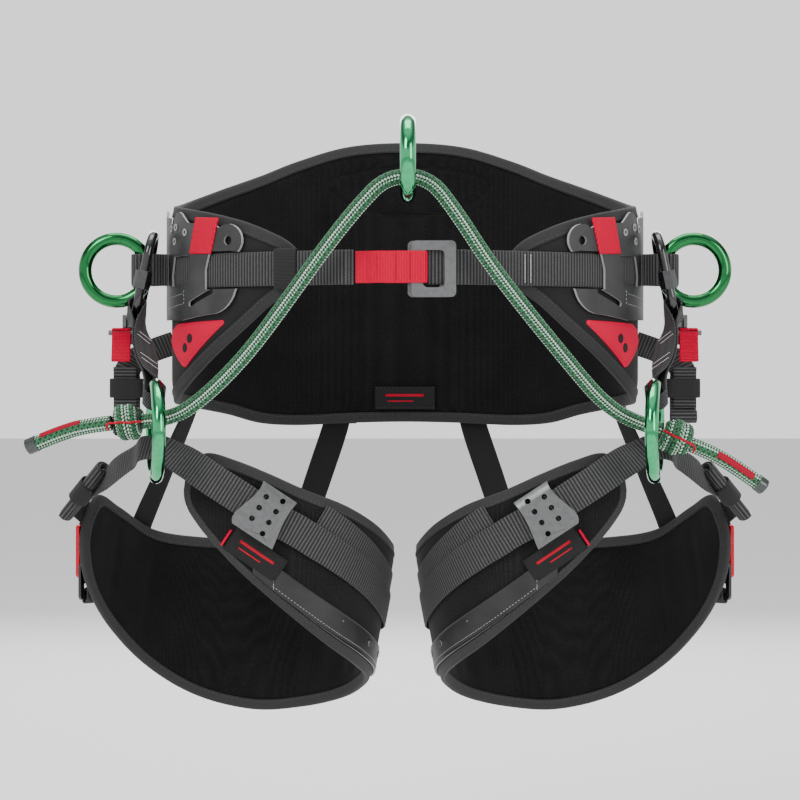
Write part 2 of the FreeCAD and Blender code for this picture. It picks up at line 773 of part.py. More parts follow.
LEG_STRAP_FRONT = [
    ((260, -48, -178), (0.0, 0.5, 0.87)),
    ((246, -61, -169), (0.0, 0.6, 0.8)),
    ((232, -74, -160), (0.0, 0.7, 0.7)),
    ((224, -88.5, -152.5), (0.0, 0.7, 0.7)),
    ((208, -94.5, -151.5), (0.0, 0.7, 0.7)),
    ((196, -99, -157), (-0.1, 0.6, 0.79)),
    ((180, -108, -166), (-0.3, 0.3, 0.9)),
    ((160, -117, -179), (-0.45, 0.1, 0.88)),
    ((138, -119.5, -193), (-0.55, 0.0, 0.84)),
    ((117, -120, -206.5), (-0.55, 0.0, 0.84)),
]


def make_legs():
    half = dim("leg_thick") / 2
    last = len(LEG_STATIONS) - 1
    pad = leg_band(0, last, 49, lambda part: 0.0, lambda part: 1.0, -half, half)
    pair("leg_pad", pad)

    strip = leg_band(3.0, 8.0, 17, lambda part: 0.70 + 0.08 * part,
                     lambda part: 0.92 + 0.02 * part, half + 0.3, half + 1.7)
    pair("leg_strip", strip)

    centres = [Vector(*point) for point, _ in LEG_STRAP_FRONT]
    wide = [Vector(*side) for _, side in LEG_STRAP_FRONT]
    lift = half + GAP + 0.4 + WEB / 2
    for part in steps(0.0, 1.0, 17):
        place = 3.75 + 7.3 * part
        drop = 0.33 + 0.10 * math.sin(part * math.pi) + 0.10 * part
        centres.append(leg_point(place, drop, lift + 2.2 * max(0, 1 - part * 6)))
        top = leg_point(place, drop - 0.1, lift)
        bottom = leg_point(place, drop + 0.1, lift)
        wide.append(unit(top - bottom))
    # Two lengths that meet inside the bridge ring, so that each stays clear of its bar.
    meeting = 4
    lengths = [ribbon(centres[:meeting + 1], wide[:meeting + 1], dim("web_width"), WEB),
               ribbon([centres[meeting] + unit(centres[meeting + 1] - centres[meeting]) * 0.2]
                      + centres[meeting + 1:], wide[meeting:], dim("web_width"), WEB)]
    pair("leg_strap", Part.makeCompound(lengths))
    make_leg_plates()
    make_leg_tails()
    make_leg_buckles()
    make_rear_straps()


def leg_plate_placement(sign):
    """The plate's own X runs down the strap, its Z out of the front of the leg pad."""
    along = unit(Vector(-sign * 0.83, 0, -0.55))
    out = Vector(0, -1, 0)
    centre = Vector(sign * 118, -122.4, -205.5)
    across = out.cross(along)
    turn = FreeCAD.Rotation(along, across, out, "ZXY")
    return FreeCAD.Placement(centre, turn)


LEG_PLATE_LEFT = [(-17.5, -22), (-20.6, -17), (-19.8, -8.8), (-16.9, 1), (-14.6, 10), (-15.5, 22)]
LEG_PLATE_RIGHT = [(18.4, 22), (17.6, 11.5), (18.2, 1.4), (19.8, -8), (22.5, -22)]
LEG_PLATE_HOLES = [(-6, 12.2), (-6, 1.4), (-6, -9.4), (7.6, 16.6), (7.6, 6.3), (7.6, -4.5),
                   (8.4, -15.2)]


def leg_plate_shape(flip):
    """The curved outline of a leg plate; its upper edge is bent back over the pad."""
    thick = dim("leg_plate_thick")
    bend = dim("leg_plate_bend")
    rows = [(-30.0, 0.0, 0.0), (11.0, 0.0, 0.0)]
    for degrees in steps(8.0, 48.0, 6):
        angle = math.radians(degrees)
        rows.append((11 + bend * math.sin(angle), bend * (math.cos(angle) - 1), angle))
    sections = []
    for height, depth, angle in rows:
        lift = Vector(0, thick * math.sin(angle), thick * math.cos(angle))
        low = Vector(-30, height, depth)
        high = Vector(30, height, depth)
        sections.append([low, high, high + lift, low + lift])
    sheet_metal = loft(sections)

    def edge(points):
        curve = Part.BSplineCurve()
        curve.interpolate([Vector(across, up, -20) for across, up in points])
        return curve.toShape()

    corners = [LEG_PLATE_LEFT[-1], LEG_PLATE_RIGHT[0], LEG_PLATE_RIGHT[-1], LEG_PLATE_LEFT[0]]
    corners = [Vector(across, up, -20) for across, up in corners]
    wire = Part.Wire([
        edge(LEG_PLATE_LEFT), Part.LineSegment(corners[0], corners[1]).toShape(),
        edge(LEG_PLATE_RIGHT), Part.LineSegment(corners[2], corners[3]).toShape(),
    ])
    plate = sheet_metal.common(Part.Face(wire).extrude(UP * 40))
    for across, up in LEG_PLATE_HOLES:
        plate = plate.cut(Part.makeCylinder(dim("leg_plate_hole"), 40, Vector(across, up, -20)))
    return plate.mirror(Vector(0, 0, 0), BACK) if flip else plate


def make_leg_plates():
    strip_lift = dim("leg_thick") / 2 + 1.8
    for side, sign in SIDES:
        feature("leg_plate_" + side, leg_plate_shape(sign > 0), leg_plate_placement(sign))
        studs = []
        for station in (6.3, 7.2):
            foot = leg_point(station, 0.82, strip_lift)
            tip = leg_point(station, 0.82, strip_lift + 1.2)
            studs.append(Part.makeCylinder(dim("rivet_radius"), 1.2, foot, tip - foot))
        stud_group = Part.makeCompound(studs)
        if sign < 0:
            stud_group = mirrored(stud_group)
        feature("leg_rivets_" + side, stud_group)


def make_leg_tails():
    """The spare end of each leg strap, rolled up and held by an elastic keeper."""
    start = Vector(261, -22, -168)
    end = Vector(298, -7, -213)
    along = unit(end - start)
    wide = unit(BACK - along * BACK.dot(along))
    face = along.cross(wide)

    def block(first, last, half_wide, half_deep):
        corners = []
        count = 12
        for index in range(count):
            angle = 2 * math.pi * index / count
            offset = wide * (half_wide * math.cos(angle)) + face * (half_deep * math.sin(angle))
            corners.append(start + along * first + offset)
        outline = Part.Face(Part.makePolygon(corners + corners[:1]))
        return outline.extrude(along * (last - first))

    length = (end - start).Length
    roll = block(0, length, 15, 7.5)
    roll = roll.fuse(block(21, 39, 16.5, 9.0))
    pair("leg_tail", roll)


def leg_buckle_placement(sign, height):
    """Upright plane outside the outer end of a leg pad; its Z faces away from the pad."""
    out = unit(Vector(sign * 0.81, 0.58, 0))
    along = UP.cross(out)
    turn = FreeCAD.Rotation(along, UP, out, "ZXY")
    return FreeCAD.Placement(Vector(sign * 280.6, 34, height), turn)


def make_leg_buckles():
    wide = dim("hook_width")
    thick = dim("hook_thick")
    for side, sign in SIDES:
        hook = Part.makeBox(wide, dim("hook_height"), thick,
                            Vector(-wide / 2, -dim("hook_height") / 2, 0))
        hook = hook.cut(Part.makeBox(wide - 10, 5, 3 * thick,
                                     Vector(-wide / 2 + 5, 12, -thick)))
        hook = hook.cut(Part.makeBox(wide - 10, 13, 3 * thick,
                                     Vector(-wide / 2 + 5, -12, -thick)))
        hook = rounded(hook, 3.0)
        feature("leg_hook_" + side, hook, leg_buckle_placement(sign, -245.5))
        frame = Part.makeBox(wide + 4, 34, 3.2, Vector(-wide / 2 - 2, -17, -3.7))
        frame = frame.cut(Part.makeBox(wide - 6, 9, 20, Vector(-wide / 2 + 3, -11, -10)))
        frame = frame.cut(Part.makeBox(wide - 6, 6, 20, Vector(-wide / 2 + 3, 5, -10)))
        frame = rounded(frame, 4.0)
        feature("leg_frame_" + side, frame, leg_buckle_placement(sign, -272))


def rounded(block, radius):
    """Round the four outer corners of a flat plate that lies in the XY plane."""
    box = block.BoundBox
    corners = []
    for edge in block.Edges:
        middle = edge.CenterOfMass
        on_corner = abs(abs(middle.x) - box.XMax) < 1e-6 and min(
            abs(middle.y - box.YMin), abs(middle.y - box.YMax)) < 1e-6
        if on_corner and edge.Length < box.ZLength + 1e-6:
            corners.append(edge)
    return block.makeFillet(radius, corners)


REAR_STRAPS = [
    (18, 10.3, 24),
    (69, 13.2, 22),
]


def make_rear_straps():
    """Elastic straps that hold the back of each leg pad up to the belt's lower edge."""
    lift = dim("leg_thick") / 2 + GAP + WEB / 2
    straps = []
    for degrees, station, width in REAR_STRAPS:
        _, bottom = belt_edge(degrees)
        outside = dim("shell_outside") + GAP + WEB / 2
        upper = [belt_point(degrees, outside, bottom + 16), belt_point(degrees, outside, bottom)]
        lower = [leg_point(station, 0.0, lift), leg_point(station, 0.12, lift)]
        middle = upper[1] * 0.5 + lower[0] * 0.5
        points = [upper[0], upper[1], middle, lower[0], lower[1]]
        tangent = belt_point(degrees + 2, outside, 0) - belt_point(degrees - 2, outside, 0)
        rim = leg_point(station - 0.2, 0.0, lift) - leg_point(station + 0.2, 0.0, lift)
        rim = unit(rim)
        tangent = unit(tangent)
        if rim.dot(tangent) < 0:
            rim = rim * -1
        wide = [tangent, tangent, unit(tangent + rim), rim, rim]
        straps.append(ribbon(points, wide, width, WEB - 0.6))
    pair("rear_straps", Part.makeCompound(straps))


# ---------------------------------------------------------------- hip adjusters
def make_hip_buckles():
    """A small metal frame at each hip: a back plate, two posts, a drum and a cross pin."""
    for side, sign in SIDES:
        parts = []
        for name, low, high, near, far in (
                ("plate", 231, 250, 15, 18), ("post_a", 246.5, 249.5, 8, 15),
                ("post_b", 241, 244, 8, 15)):
            box = doc.addObject("Part::Box", "hip_%s_%s" % (name, side))
            box.Length = high - low
            box.Width = far - near
            box.Height = 24 if name == "plate" else 11
            left = low if sign > 0 else -high
            bottom = -62 if name == "plate" else -46.8
            box.Placement = FreeCAD.Placement(Vector(left, near, bottom), FreeCAD.Rotation())
            parts.append(box)
        turn = FreeCAD.Rotation(BACK, 90)
        for name, low, high, radius, depth, height in (
                ("drum", 231, 240, 8, 10, -46), ("pin", 238, 262, 2.4, 10, -51.5)):
            rod = doc.addObject("Part::Cylinder", "hip_%s_%s" % (name, side))
            rod.Radius = radius
            rod.Height = high - low
            left = low if sign > 0 else -high
            rod.Placement = FreeCAD.Placement(Vector(left, depth, height), turn)
            parts.append(rod)
        fused = doc.addObject("Part::MultiFuse", "hip_buckle_" + side)
        fused.Shapes = parts
        keep(fused, "hip_buckle_" + side)


def make_hip_webbing():
    pin = Vector(250.5, 10, -51.5)
    low = Vector(250.5, 4, -75)
    wide = [(1.0, 0.0, 0.0)] * 3
    tab = web_loop(pin, low, 2.4 + GAP, 1.0, wide, dim("tab_width") - 1, 1.4, slack=0.3, count=7)
    pair("hip_tab", tab)

    # The webbing leaves the belt, passes behind the buckle's plate and hangs as a tail.
    points = [Vector(205, 34, -60), Vector(222, 30, -66), Vector(238, 24, -74),
              Vector(246, 18, -85), Vector(246, 16.5, -97), Vector(246, 14, -120)]
    sides = [Vector(0.2, 0.4, 0.9), Vector(0.4, 0.4, 0.8), Vector(0.85, 0.2, 0.4), ACROSS,
             ACROSS, ACROSS]
    tail = ribbon(points, sides, 24, WEB)
    fold = ribbon([Vector(247.5, 11.5, -118), Vector(247.5, 11.3, -96),
                   Vector(247.5, 10.6, -88), Vector(247.5, 9.2, -82)], [ACROSS] * 4, 21, WEB)
    roll = Part.makeCylinder(7.0, 23, Vector(234.5, 8.5, -125), ACROSS)
    roll = roll.cut(Part.makeCylinder(2.6, 27, Vector(232.5, 8.5, -125), ACROSS))
    pair("hip_tail", Part.makeCompound([tail, fold, roll]))

    outer = Part.makeBox(29.6, 12.8, 17, Vector(231.6, 7.6, -109))
    inner = Part.makeBox(27.6, 10.8, 27, Vector(232.6, 8.6, -114))
    pair("hip_keeper", outer.cut(inner))


# ---------------------------------------------------------------- build, check, write
make_belt()
make_side_plates()
waist_straight = make_waist_strap()
make_waist_buckle()
make_waist_keeper(waist_straight)
make_side_rings()
make_links()
make_nuts()
make_slings()
make_side_straps()
make_bridge_rings()
make_slide_ring()
make_bridge()
make_legs()
make_hip_buckles()
make_hip_webbing()
doc.recompute()

for obj in doc.Objects:
    if "Invalid" in obj.State or "Error" in obj.State:
        raise RuntimeError("object failed: " + obj.Label)
for obj in nodes:
    if obj.Shape.isNull() or not obj.Shape.isValid() or obj.Shape.Volume <= 0:
        raise RuntimeError("shape is not a valid solid: " + obj.Label)
    obj.Shape.exportStep("parts/%s.step" % obj.Label)
print("pieces written:", len(nodes))
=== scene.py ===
import math

import bpy
import numpy as np
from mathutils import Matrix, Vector


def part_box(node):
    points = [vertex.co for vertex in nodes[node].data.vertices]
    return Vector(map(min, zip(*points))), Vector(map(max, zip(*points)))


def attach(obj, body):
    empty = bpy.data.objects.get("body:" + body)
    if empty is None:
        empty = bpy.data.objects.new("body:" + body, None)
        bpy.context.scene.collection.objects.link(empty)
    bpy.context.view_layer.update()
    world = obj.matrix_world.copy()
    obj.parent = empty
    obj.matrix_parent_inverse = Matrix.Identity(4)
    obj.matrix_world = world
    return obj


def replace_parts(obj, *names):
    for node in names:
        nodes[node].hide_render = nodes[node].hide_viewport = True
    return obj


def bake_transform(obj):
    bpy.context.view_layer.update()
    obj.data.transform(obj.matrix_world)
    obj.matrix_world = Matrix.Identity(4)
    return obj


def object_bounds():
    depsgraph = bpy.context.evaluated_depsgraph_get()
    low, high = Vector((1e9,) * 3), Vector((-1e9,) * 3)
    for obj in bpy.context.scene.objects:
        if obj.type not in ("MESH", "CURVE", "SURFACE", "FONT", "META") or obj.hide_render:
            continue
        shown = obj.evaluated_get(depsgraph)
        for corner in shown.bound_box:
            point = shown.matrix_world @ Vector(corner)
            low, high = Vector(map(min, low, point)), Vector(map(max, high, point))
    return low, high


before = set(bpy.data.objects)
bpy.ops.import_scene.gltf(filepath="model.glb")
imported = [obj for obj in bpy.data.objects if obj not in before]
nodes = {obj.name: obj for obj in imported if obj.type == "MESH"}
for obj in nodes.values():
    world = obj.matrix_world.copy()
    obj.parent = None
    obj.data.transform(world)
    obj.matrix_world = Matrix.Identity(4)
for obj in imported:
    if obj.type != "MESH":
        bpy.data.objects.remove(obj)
cad_low, cad_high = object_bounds()
MM = 0.001
SIDES = (("l", -1), ("r", 1))
UP = np.array([0.0, 0.0, 1.0])
ACROSS = np.array([1.0, 0.0, 0.0])
BACK = np.array([0.0, 1.0, 0.0])


# ---------------------------------------------------------------- numbers and lines
def unit(vectors):
    vectors = np.asarray(vectors, float)
    return vectors / np.maximum(np.linalg.norm(vectors, axis=-1, keepdims=True), 1e-12)


def catmull(rows, per_span=12):
    """A smooth run of rows through the given rows."""
    rows = np.asarray(rows, float)
    padded = np.vstack([2 * rows[0] - rows[1], rows, 2 * rows[-1] - rows[-2]])
    result = []
    for index in range(len(rows) - 1):
        before, start, end, after = padded[index:index + 4]
        part = np.linspace(0, 1, per_span, endpoint=False)[:, None]
        cubic = -before + 3 * start - 3 * end + after
        square = 2 * before - 5 * start + 4 * end - after
        result.append(start + 0.5 * part * (end - before + part * (square + part * cubic)))
    return np.vstack(result + [rows[-1:]])


def evened(rows, step):
    """Rows again at even distances; the first three columns are the place."""
    along = np.concatenate([[0], np.cumsum(np.linalg.norm(np.diff(rows[:, :3], axis=0), axis=1))])
    count = max(3, int(round(along[-1] / step)) + 1)
    at = np.linspace(0, along[-1], count)
    return np.stack([np.interp(at, along, column) for column in rows.T], axis=1), at


def flat(points):
    """(x, y) points with a third column of zeros."""
    return np.hstack([np.asarray(points, float), np.zeros((len(points), 1))])


def frames_along(line, sides):
    run = unit(np.gradient(line, axis=0))
    face = unit(np.cross(run, sides))
    return unit(np.cross(face, run)), face


def smoothstep(value):
    value = np.clip(value, 0.0, 1.0)
    return value * value * (3 - 2 * value)


# ---------------------------------------------------------------- meshes
def mesh_piece(name, points, faces, materials, body, lay=None, indices=None,
               smooth=True):
    """A mesh in millimetres becomes a piece that rides on a body."""
    mesh = bpy.data.meshes.new(name)
    mesh.from_pydata((np.asarray(points, float) * MM).tolist(), [], faces)
    materials = materials if isinstance(materials, (list, tuple)) else [materials]
    for made in materials:
        mesh.materials.append(made)
    if indices is not None:
        mesh.polygons.foreach_set("material_index", np.asarray(indices, np.int32))
    mesh.polygons.foreach_set("use_smooth", np.full(len(mesh.polygons), smooth))
    if lay is not None:
        attribute = mesh.attributes.new("lay", "FLOAT_VECTOR", "POINT")
        attribute.data.foreach_set("vector", np.asarray(lay, np.float32).ravel())
    mesh.validate()
    mesh.update()
    piece = bpy.data.objects.new(name, mesh)
    bpy.context.scene.collection.objects.link(piece)
    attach(piece, body)
    return piece


def grid_faces(rows, columns, closed_rows=False, closed_columns=False, first=0, flip=False):
    faces = []
    for r in range(rows if closed_rows else rows - 1):
        for c in range(columns if closed_columns else columns - 1):
            a = r * columns + c
            b = r * columns + (c + 1) % columns
            d = ((r + 1) % rows) * columns + c
            e = ((r + 1) % rows) * columns + (c + 1) % columns
            face = (a, b, e, d)
            faces.append(tuple(first + i for i in (face[::-1] if flip else face)))
    return faces


def rim_faces(rows, columns, flip=False):
    """The faces round the edge between one grid of points and a second that follows it."""
    rim = [r * columns for r in range(rows)]
    rim += [(rows - 1) * columns + c for c in range(1, columns)]
    rim += [r * columns + columns - 1 for r in range(rows - 2, -1, -1)]
    rim += list(range(columns - 2, 0, -1))
    shift = rows * columns
    pairs = zip(rim, rim[1:] + rim[:1])
    return [(b, a, a + shift, b + shift) if flip else (a, b, b + shift, a + shift) for a, b in pairs]


class Build:
    """Collects several meshes into one piece."""

    def __init__(self):
        self.points, self.faces, self.lay, self.indices = [], [], [], []
        self.count = 0

    def add(self, points, faces, lay=None, index=0):
        points = np.asarray(points, float)
        self.points.append(points)
        self.faces += [tuple(self.count + i for i in face) for face in faces]
        self.lay.append(points if lay is None else np.asarray(lay, float))
        self.indices += [index] * len(faces)
        self.count += len(points)

    def piece(self, name, materials, body, slot=None, sign=1, smooth=True):
        points = np.vstack(self.points)
        faces = self.faces
        if sign < 0:
            points = points * np.array([-1.0, 1.0, 1.0])
            faces = turned(faces)
        return mesh_piece(name, points, faces, materials, body, np.vstack(self.lay),
                          self.indices, smooth)


def lone(name, made, materials, body, slot=None, sign=1):
    """One set of points, faces and lay as a piece of its own."""
    build = Build()
    build.add(*made)
    return build.piece(name, materials, body, slot, sign)


def turned(faces):
    """The same faces, facing the other way."""
    return [face[::-1] for face in faces]


def end_faces(rows, columns):
    """The two flat ends of a swept profile."""
    first = tuple(range(columns))
    last = tuple(range((rows - 1) * columns, rows * columns))
    return [first, last[::-1]]


def swept(line, side, face, profile, along):
    """A closed profile of (side, face) places carried along a line, with flat ends."""
    profile = np.asarray(profile, float)
    if profile.ndim == 2:
        profile = np.repeat(profile[None], len(line), axis=0)
    points = (line[:, None, :] + profile[:, :, :1] * side[:, None, :]
              + profile[:, :, 1:] * face[:, None, :])
    rows, columns = profile.shape[:2]
    lay = np.concatenate([profile[:, :, :1],
                          np.repeat(along[:, None, None], columns, axis=1),
                          profile[:, :, 1:]], axis=2)
    faces = grid_faces(rows, columns, False, True) + end_faces(rows, columns)
    return points.reshape(-1, 3), faces, lay.reshape(-1, 3)


def tube(line, radius, sides=10):
    """Points and faces of a plain round tube."""
    line = np.asarray(line, float)
    run = unit(np.gradient(line, axis=0))
    hint = np.where(np.abs(run @ UP)[:, None] > 0.9, ACROSS, UP)
    side = unit(np.cross(hint, run))
    face = np.cross(run, side)
    turn = np.linspace(0, 2 * math.pi, sides, endpoint=False)
    ring = np.stack([np.cos(turn), np.sin(turn)], axis=1)
    radius = np.broadcast_to(np.asarray(radius, float), (len(line),))
    profile = ring[None] * radius[:, None, None]
    along = np.concatenate([[0], np.cumsum(np.linalg.norm(np.diff(line, axis=0), axis=1))])
    return swept(line, side, face, profile, along)


def stitches(build, places, run, face, length=2.4, thick=0.55, index=0):
    """Small raised thread stitches, each a slim lens along its run."""
    profile = [(-0.5, 0.0), (-0.28, 0.8), (0.28, 0.8), (0.5, 0.0), (0.28, -0.8), (-0.28, -0.8)]
    for place, along, out in zip(places, unit(run), unit(face)):
        across = np.cross(out, along)
        points = [place + along * (x * length) + across * (y * thick * 0.5) for x, y in profile]
        top = [p + out * (thick * 0.5) for p in points[1:3] + points[4:6]]
        ring = np.array(points + top)
        faces = [(0, 1, 6), (1, 2, 7, 6), (2, 3, 7), (3, 4, 8), (3, 8, 7), (4, 5, 9, 8),
                 (5, 0, 9), (0, 6, 9), (6, 7, 8, 9), (0, 5, 4, 3, 2, 1)]
        build.add(ring, faces, index=index)


# ---------------------------------------------------------------- materials
def material(name, colour, roughness, metallic=0.0, specular=0.5, sheen=0.0, coat=0.0):
    made = bpy.data.materials.new(name)
    made.use_nodes = True
    shader = made.node_tree.nodes["Principled BSDF"]
    shader.inputs["Base Color"].default_value = (*colour, 1)
    shader.inputs["Roughness"].default_value = roughness
    shader.inputs["Metallic"].default_value = metallic
    shader.inputs["Specular IOR Level"].default_value = specular
    shader.inputs["Sheen Weight"].default_value = sheen
    shader.inputs["Sheen Roughness"].default_value = 0.5
    shader.inputs["Coat Weight"].default_value = coat
    shader.inputs["Coat Roughness"].default_value = 0.08
    return made, made.node_tree, shader


def node(tree, kind, inputs=None, **settings):
    made = tree.nodes.new(kind)
    for key, value in settings.items():
        setattr(made, key, value)
    for key, value in (inputs or {}).items():
        if isinstance(value, bpy.types.NodeSocket):
            tree.links.new(value, made.inputs[key])
        else:
            made.inputs[key].default_value = value
    return made


def maths(tree, operation, first, second=0.0):
    return node(tree, "ShaderNodeMath", {0: first, 1: second}, operation=operation).outputs[0]


def lay_axes(tree):
    """The piece's own run in millimetres: across, along, and up from its surface."""
    lay = node(tree, "ShaderNodeAttribute", attribute_name="lay")
    split = node(tree, "ShaderNodeSeparateXYZ", {0: lay.outputs["Vector"]})
    return lay.outputs["Vector"], split.outputs["X"], split.outputs["Y"]


def place_in_mm(tree):
    place = node(tree, "ShaderNodeTexCoord").outputs["Object"]
    return node(tree, "ShaderNodeVectorMath", {0: place, 1: (1000, 1000, 1000)},
                operation="MULTIPLY").outputs[0]


def ramp(tree, value, dark, light, low=0.0, high=1.0):
    made = node(tree, "ShaderNodeValToRGB", {0: value})
    made.color_ramp.elements[0].position = low
    made.color_ramp.elements[0].color = (*dark, 1)
    made.color_ramp.elements[1].position = high
    made.color_ramp.elements[1].color = (*light, 1)
    return made.outputs["Color"]


def bump(tree, shader, height, strength, distance):
    made = node(tree, "ShaderNodeBump", {"Height": height, "Strength": strength,
                                         "Distance": distance * MM})
    tree.links.new(made.outputs["Normal"], shader.inputs["Normal"])


def wave(tree, value, pitch, sharp=1.0):
    """From 0 in the valleys to 1 on the ridges, once every pitch."""
    turned = maths(tree, "MULTIPLY", value, 2 * math.pi / pitch)
    cosine = maths(tree, "COSINE", turned)
    raised = maths(tree, "MULTIPLY_ADD", cosine, 0.5)
    raised.node.inputs[2].default_value = 0.5
    return maths(tree, "POWER", raised, sharp) if sharp != 1.0 else raised


def knit_material(name, dark, light, cell=1.5, sheen=0.06):
    """Fine spacer mesh: small round holes, with a slow uneven tone."""
    made, tree, shader = material(name, light, 0.92, specular=0.1, sheen=sheen)
    vector = place_in_mm(tree)
    holes = node(tree, "ShaderNodeTexVoronoi", {"Vector": vector, "Scale": 1 / cell,
                                                "Randomness": 0.35})
    fuzz = node(tree, "ShaderNodeTexNoise", {"Vector": vector, "Scale": 0.9, "Detail": 5.0,
                                             "Roughness": 0.7})
    slow = node(tree, "ShaderNodeTexNoise", {"Vector": vector, "Scale": 0.03, "Detail": 2.0})
    mixed = maths(tree, "MULTIPLY", holes.outputs["Distance"], fuzz.outputs["Fac"])
    toned = maths(tree, "MULTIPLY_ADD", slow.outputs["Fac"], 0.25)
    tree.links.new(mixed, toned.node.inputs[2])
    tree.links.new(ramp(tree, toned, dark, light, 0.14, 0.62), shader.inputs["Base Color"])
    bump(tree, shader, mixed, 0.65, 0.5)
    return made


def webbing_material(name, dark, light, pitch, thread=0.62, twill=0.0, sheen=0.05,
                     specular=0.2):
    """Woven ribs across the run, crossed by fine threads along it."""
    made, tree, shader = material(name, light, 0.72, specular=specular, sheen=sheen)
    vector, across, along = lay_axes(tree)
    leaning = maths(tree, "MULTIPLY_ADD", across, twill)
    tree.links.new(along, leaning.node.inputs[2])
    ridge = wave(tree, leaning, pitch, 1.4)
    threads = wave(tree, across, thread)
    fuzz = node(tree, "ShaderNodeTexNoise", {"Vector": vector, "Scale": 1.3, "Detail": 4.0})
    woven = maths(tree, "MULTIPLY_ADD", threads, 0.35)
    tree.links.new(ridge, woven.node.inputs[2])
    uneven = maths(tree, "MULTIPLY", woven, fuzz.outputs["Fac"])
    tree.links.new(ramp(tree, uneven, dark, light, 0.06, 0.62), shader.inputs["Base Color"])
    bump(tree, shader, woven, 0.5, 0.35)
    return made


def tape_material(name, dark, light, pitch=1.1, sheen=0.04):
    made, tree, shader = material(name, light, 0.8, specular=0.22, sheen=sheen)
    vector, _, along = lay_axes(tree)
    ribs = wave(tree, along, pitch)
    grain = node(tree, "ShaderNodeTexNoise", {"Vector": vector, "Scale": 0.8, "Detail": 4.0})
    uneven = maths(tree, "MULTIPLY", ribs, grain.outputs["Fac"])
    tree.links.new(ramp(tree, uneven, dark, light, 0.0, 0.6), shader.inputs["Base Color"])
    bump(tree, shader, ribs, 0.35, 0.18)
    return made


def metal_material(name, colour, roughness, metallic=1.0, coat=0.0, scratch=0.06):
    made, tree, shader = material(name, colour, roughness, metallic, coat=coat)
    vector = place_in_mm(tree)
    worn = node(tree, "ShaderNodeTexNoise", {"Vector": vector, "Scale": 0.25, "Detail": 6.0,
                                             "Roughness": 0.65})
    fine = node(tree, "ShaderNodeTexNoise", {"Vector": vector, "Scale": 2.5, "Detail": 3.0})
    rough = maths(tree, "MULTIPLY_ADD", worn.outputs["Fac"], scratch)
    rough.node.inputs[2].default_value = max(roughness - scratch / 2, 0.02)
    tree.links.new(rough, shader.inputs["Roughness"])
    darker = tuple(0.82 * part for part in colour)
    tree.links.new(ramp(tree, worn.outputs["Fac"], darker, colour, 0.35, 0.6),
                   shader.inputs["Base Color"])
    bump(tree, shader, fine.outputs["Fac"], 0.06, 0.12)
    return made


def laminate_material(name, dark, light, roughness=0.42):
    made, tree, shader = material(name, light, roughness, specular=0.45)
    vector = place_in_mm(tree)
    grain = node(tree, "ShaderNodeTexNoise", {"Vector": vector, "Scale": 1.6, "Detail": 5.0})
    slow = node(tree, "ShaderNodeTexNoise", {"Vector": vector, "Scale": 0.05, "Detail": 3.0})
    tree.links.new(ramp(tree, slow.outputs["Fac"], dark, light, 0.35, 0.65),
                   shader.inputs["Base Color"])
    bump(tree, shader, grain.outputs["Fac"], 0.18, 0.15)
    return made


def plain_material(name, colour, roughness=0.6, scale=1.5, specular=0.4, sheen=0.0):
    made, tree, shader = material(name, colour, roughness, specular=specular, sheen=sheen)
    vector = place_in_mm(tree)
    grain = node(tree, "ShaderNodeTexNoise", {"Vector": vector, "Scale": scale, "Detail": 4.0})
    darker = tuple(0.75 * part for part in colour)
    tree.links.new(ramp(tree, grain.outputs["Fac"], darker, colour, 0.3, 0.6),
                   shader.inputs["Base Color"])
    bump(tree, shader, grain.outputs["Fac"], 0.25, 0.15)
    return made


LINING = knit_material("lining", (0.0015, 0.0015, 0.0016), (0.0125, 0.0125, 0.013))
OUTER = knit_material("outer_fabric", (0.0022, 0.0022, 0.0023), (0.018, 0.018, 0.0185), 1.1)
SHELL = tape_material("shell_cloth", (0.006, 0.006, 0.006), (0.020, 0.020, 0.021), 0.9)
BINDING = tape_material("binding_tape", (0.015, 0.015, 0.0155), (0.045, 0.045, 0.046))
THREAD = plain_material("grey_thread", (0.055, 0.055, 0.057), 0.7)
PALE_THREAD = plain_material("pale_thread", (0.45, 0.45, 0.45), 0.6)
WHITE_THREAD = plain_material("white_thread", (0.85, 0.85, 0.85), 0.6)
RED_THREAD = plain_material("red_thread", (0.42, 0.002, 0.02), 0.7, specular=0.15)
RIB_PITCH = 2.95
WEBBING = webbing_material("webbing", (0.007, 0.007, 0.007), (0.082, 0.082, 0.084), RIB_PITCH)
FINE_WEBBING = webbing_material("fine_webbing", (0.003, 0.003, 0.003), (0.075, 0.075, 0.078),
                                1.9, twill=0.25)
RED_WEBBING = webbing_material("red_webbing", (0.42, 0.0, 0.022), (0.70, 0.0, 0.045), 1.3,
                               sheen=0.0, specular=0.08)
ELASTIC = tape_material("elastic", (0.008, 0.008, 0.008), (0.034, 0.034, 0.035), 0.8)
REAR_ELASTIC = tape_material("rear_elastic", (0.005, 0.005, 0.005), (0.018, 0.018, 0.019), 1.0)
LAMINATE = laminate_material("laminate", (0.016, 0.016, 0.0165), (0.030, 0.030, 0.031))
CUT_EDGE = plain_material("cut_edge", (0.32, 0.32, 0.33), 0.6)
LABEL = tape_material("label_satin", (0.007, 0.007, 0.007), (0.018, 0.018, 0.019), 0.5)
GREY_METAL = metal_material("grey_buckle", (0.17, 0.172, 0.176), 0.4, 0.8)
BLACK_METAL = metal_material("black_gloss", (0.006, 0.006, 0.0065), 0.14, 0.0, coat=0.6)
STEEL = metal_material("bright_steel", (0.55, 0.55, 0.56), 0.22)
DARK_GREEN = metal_material("dark_green", (0.012, 0.17, 0.045), 0.13, coat=0.35)
MINT_GREEN = metal_material("mint_green", (0.045, 0.42, 0.17), 0.11, coat=0.35)
PLATE_GREY = metal_material("plate_grey", (0.17, 0.172, 0.175), 0.38, 0.9)
RIVET = metal_material("rivet", (0.10, 0.10, 0.105), 0.3)
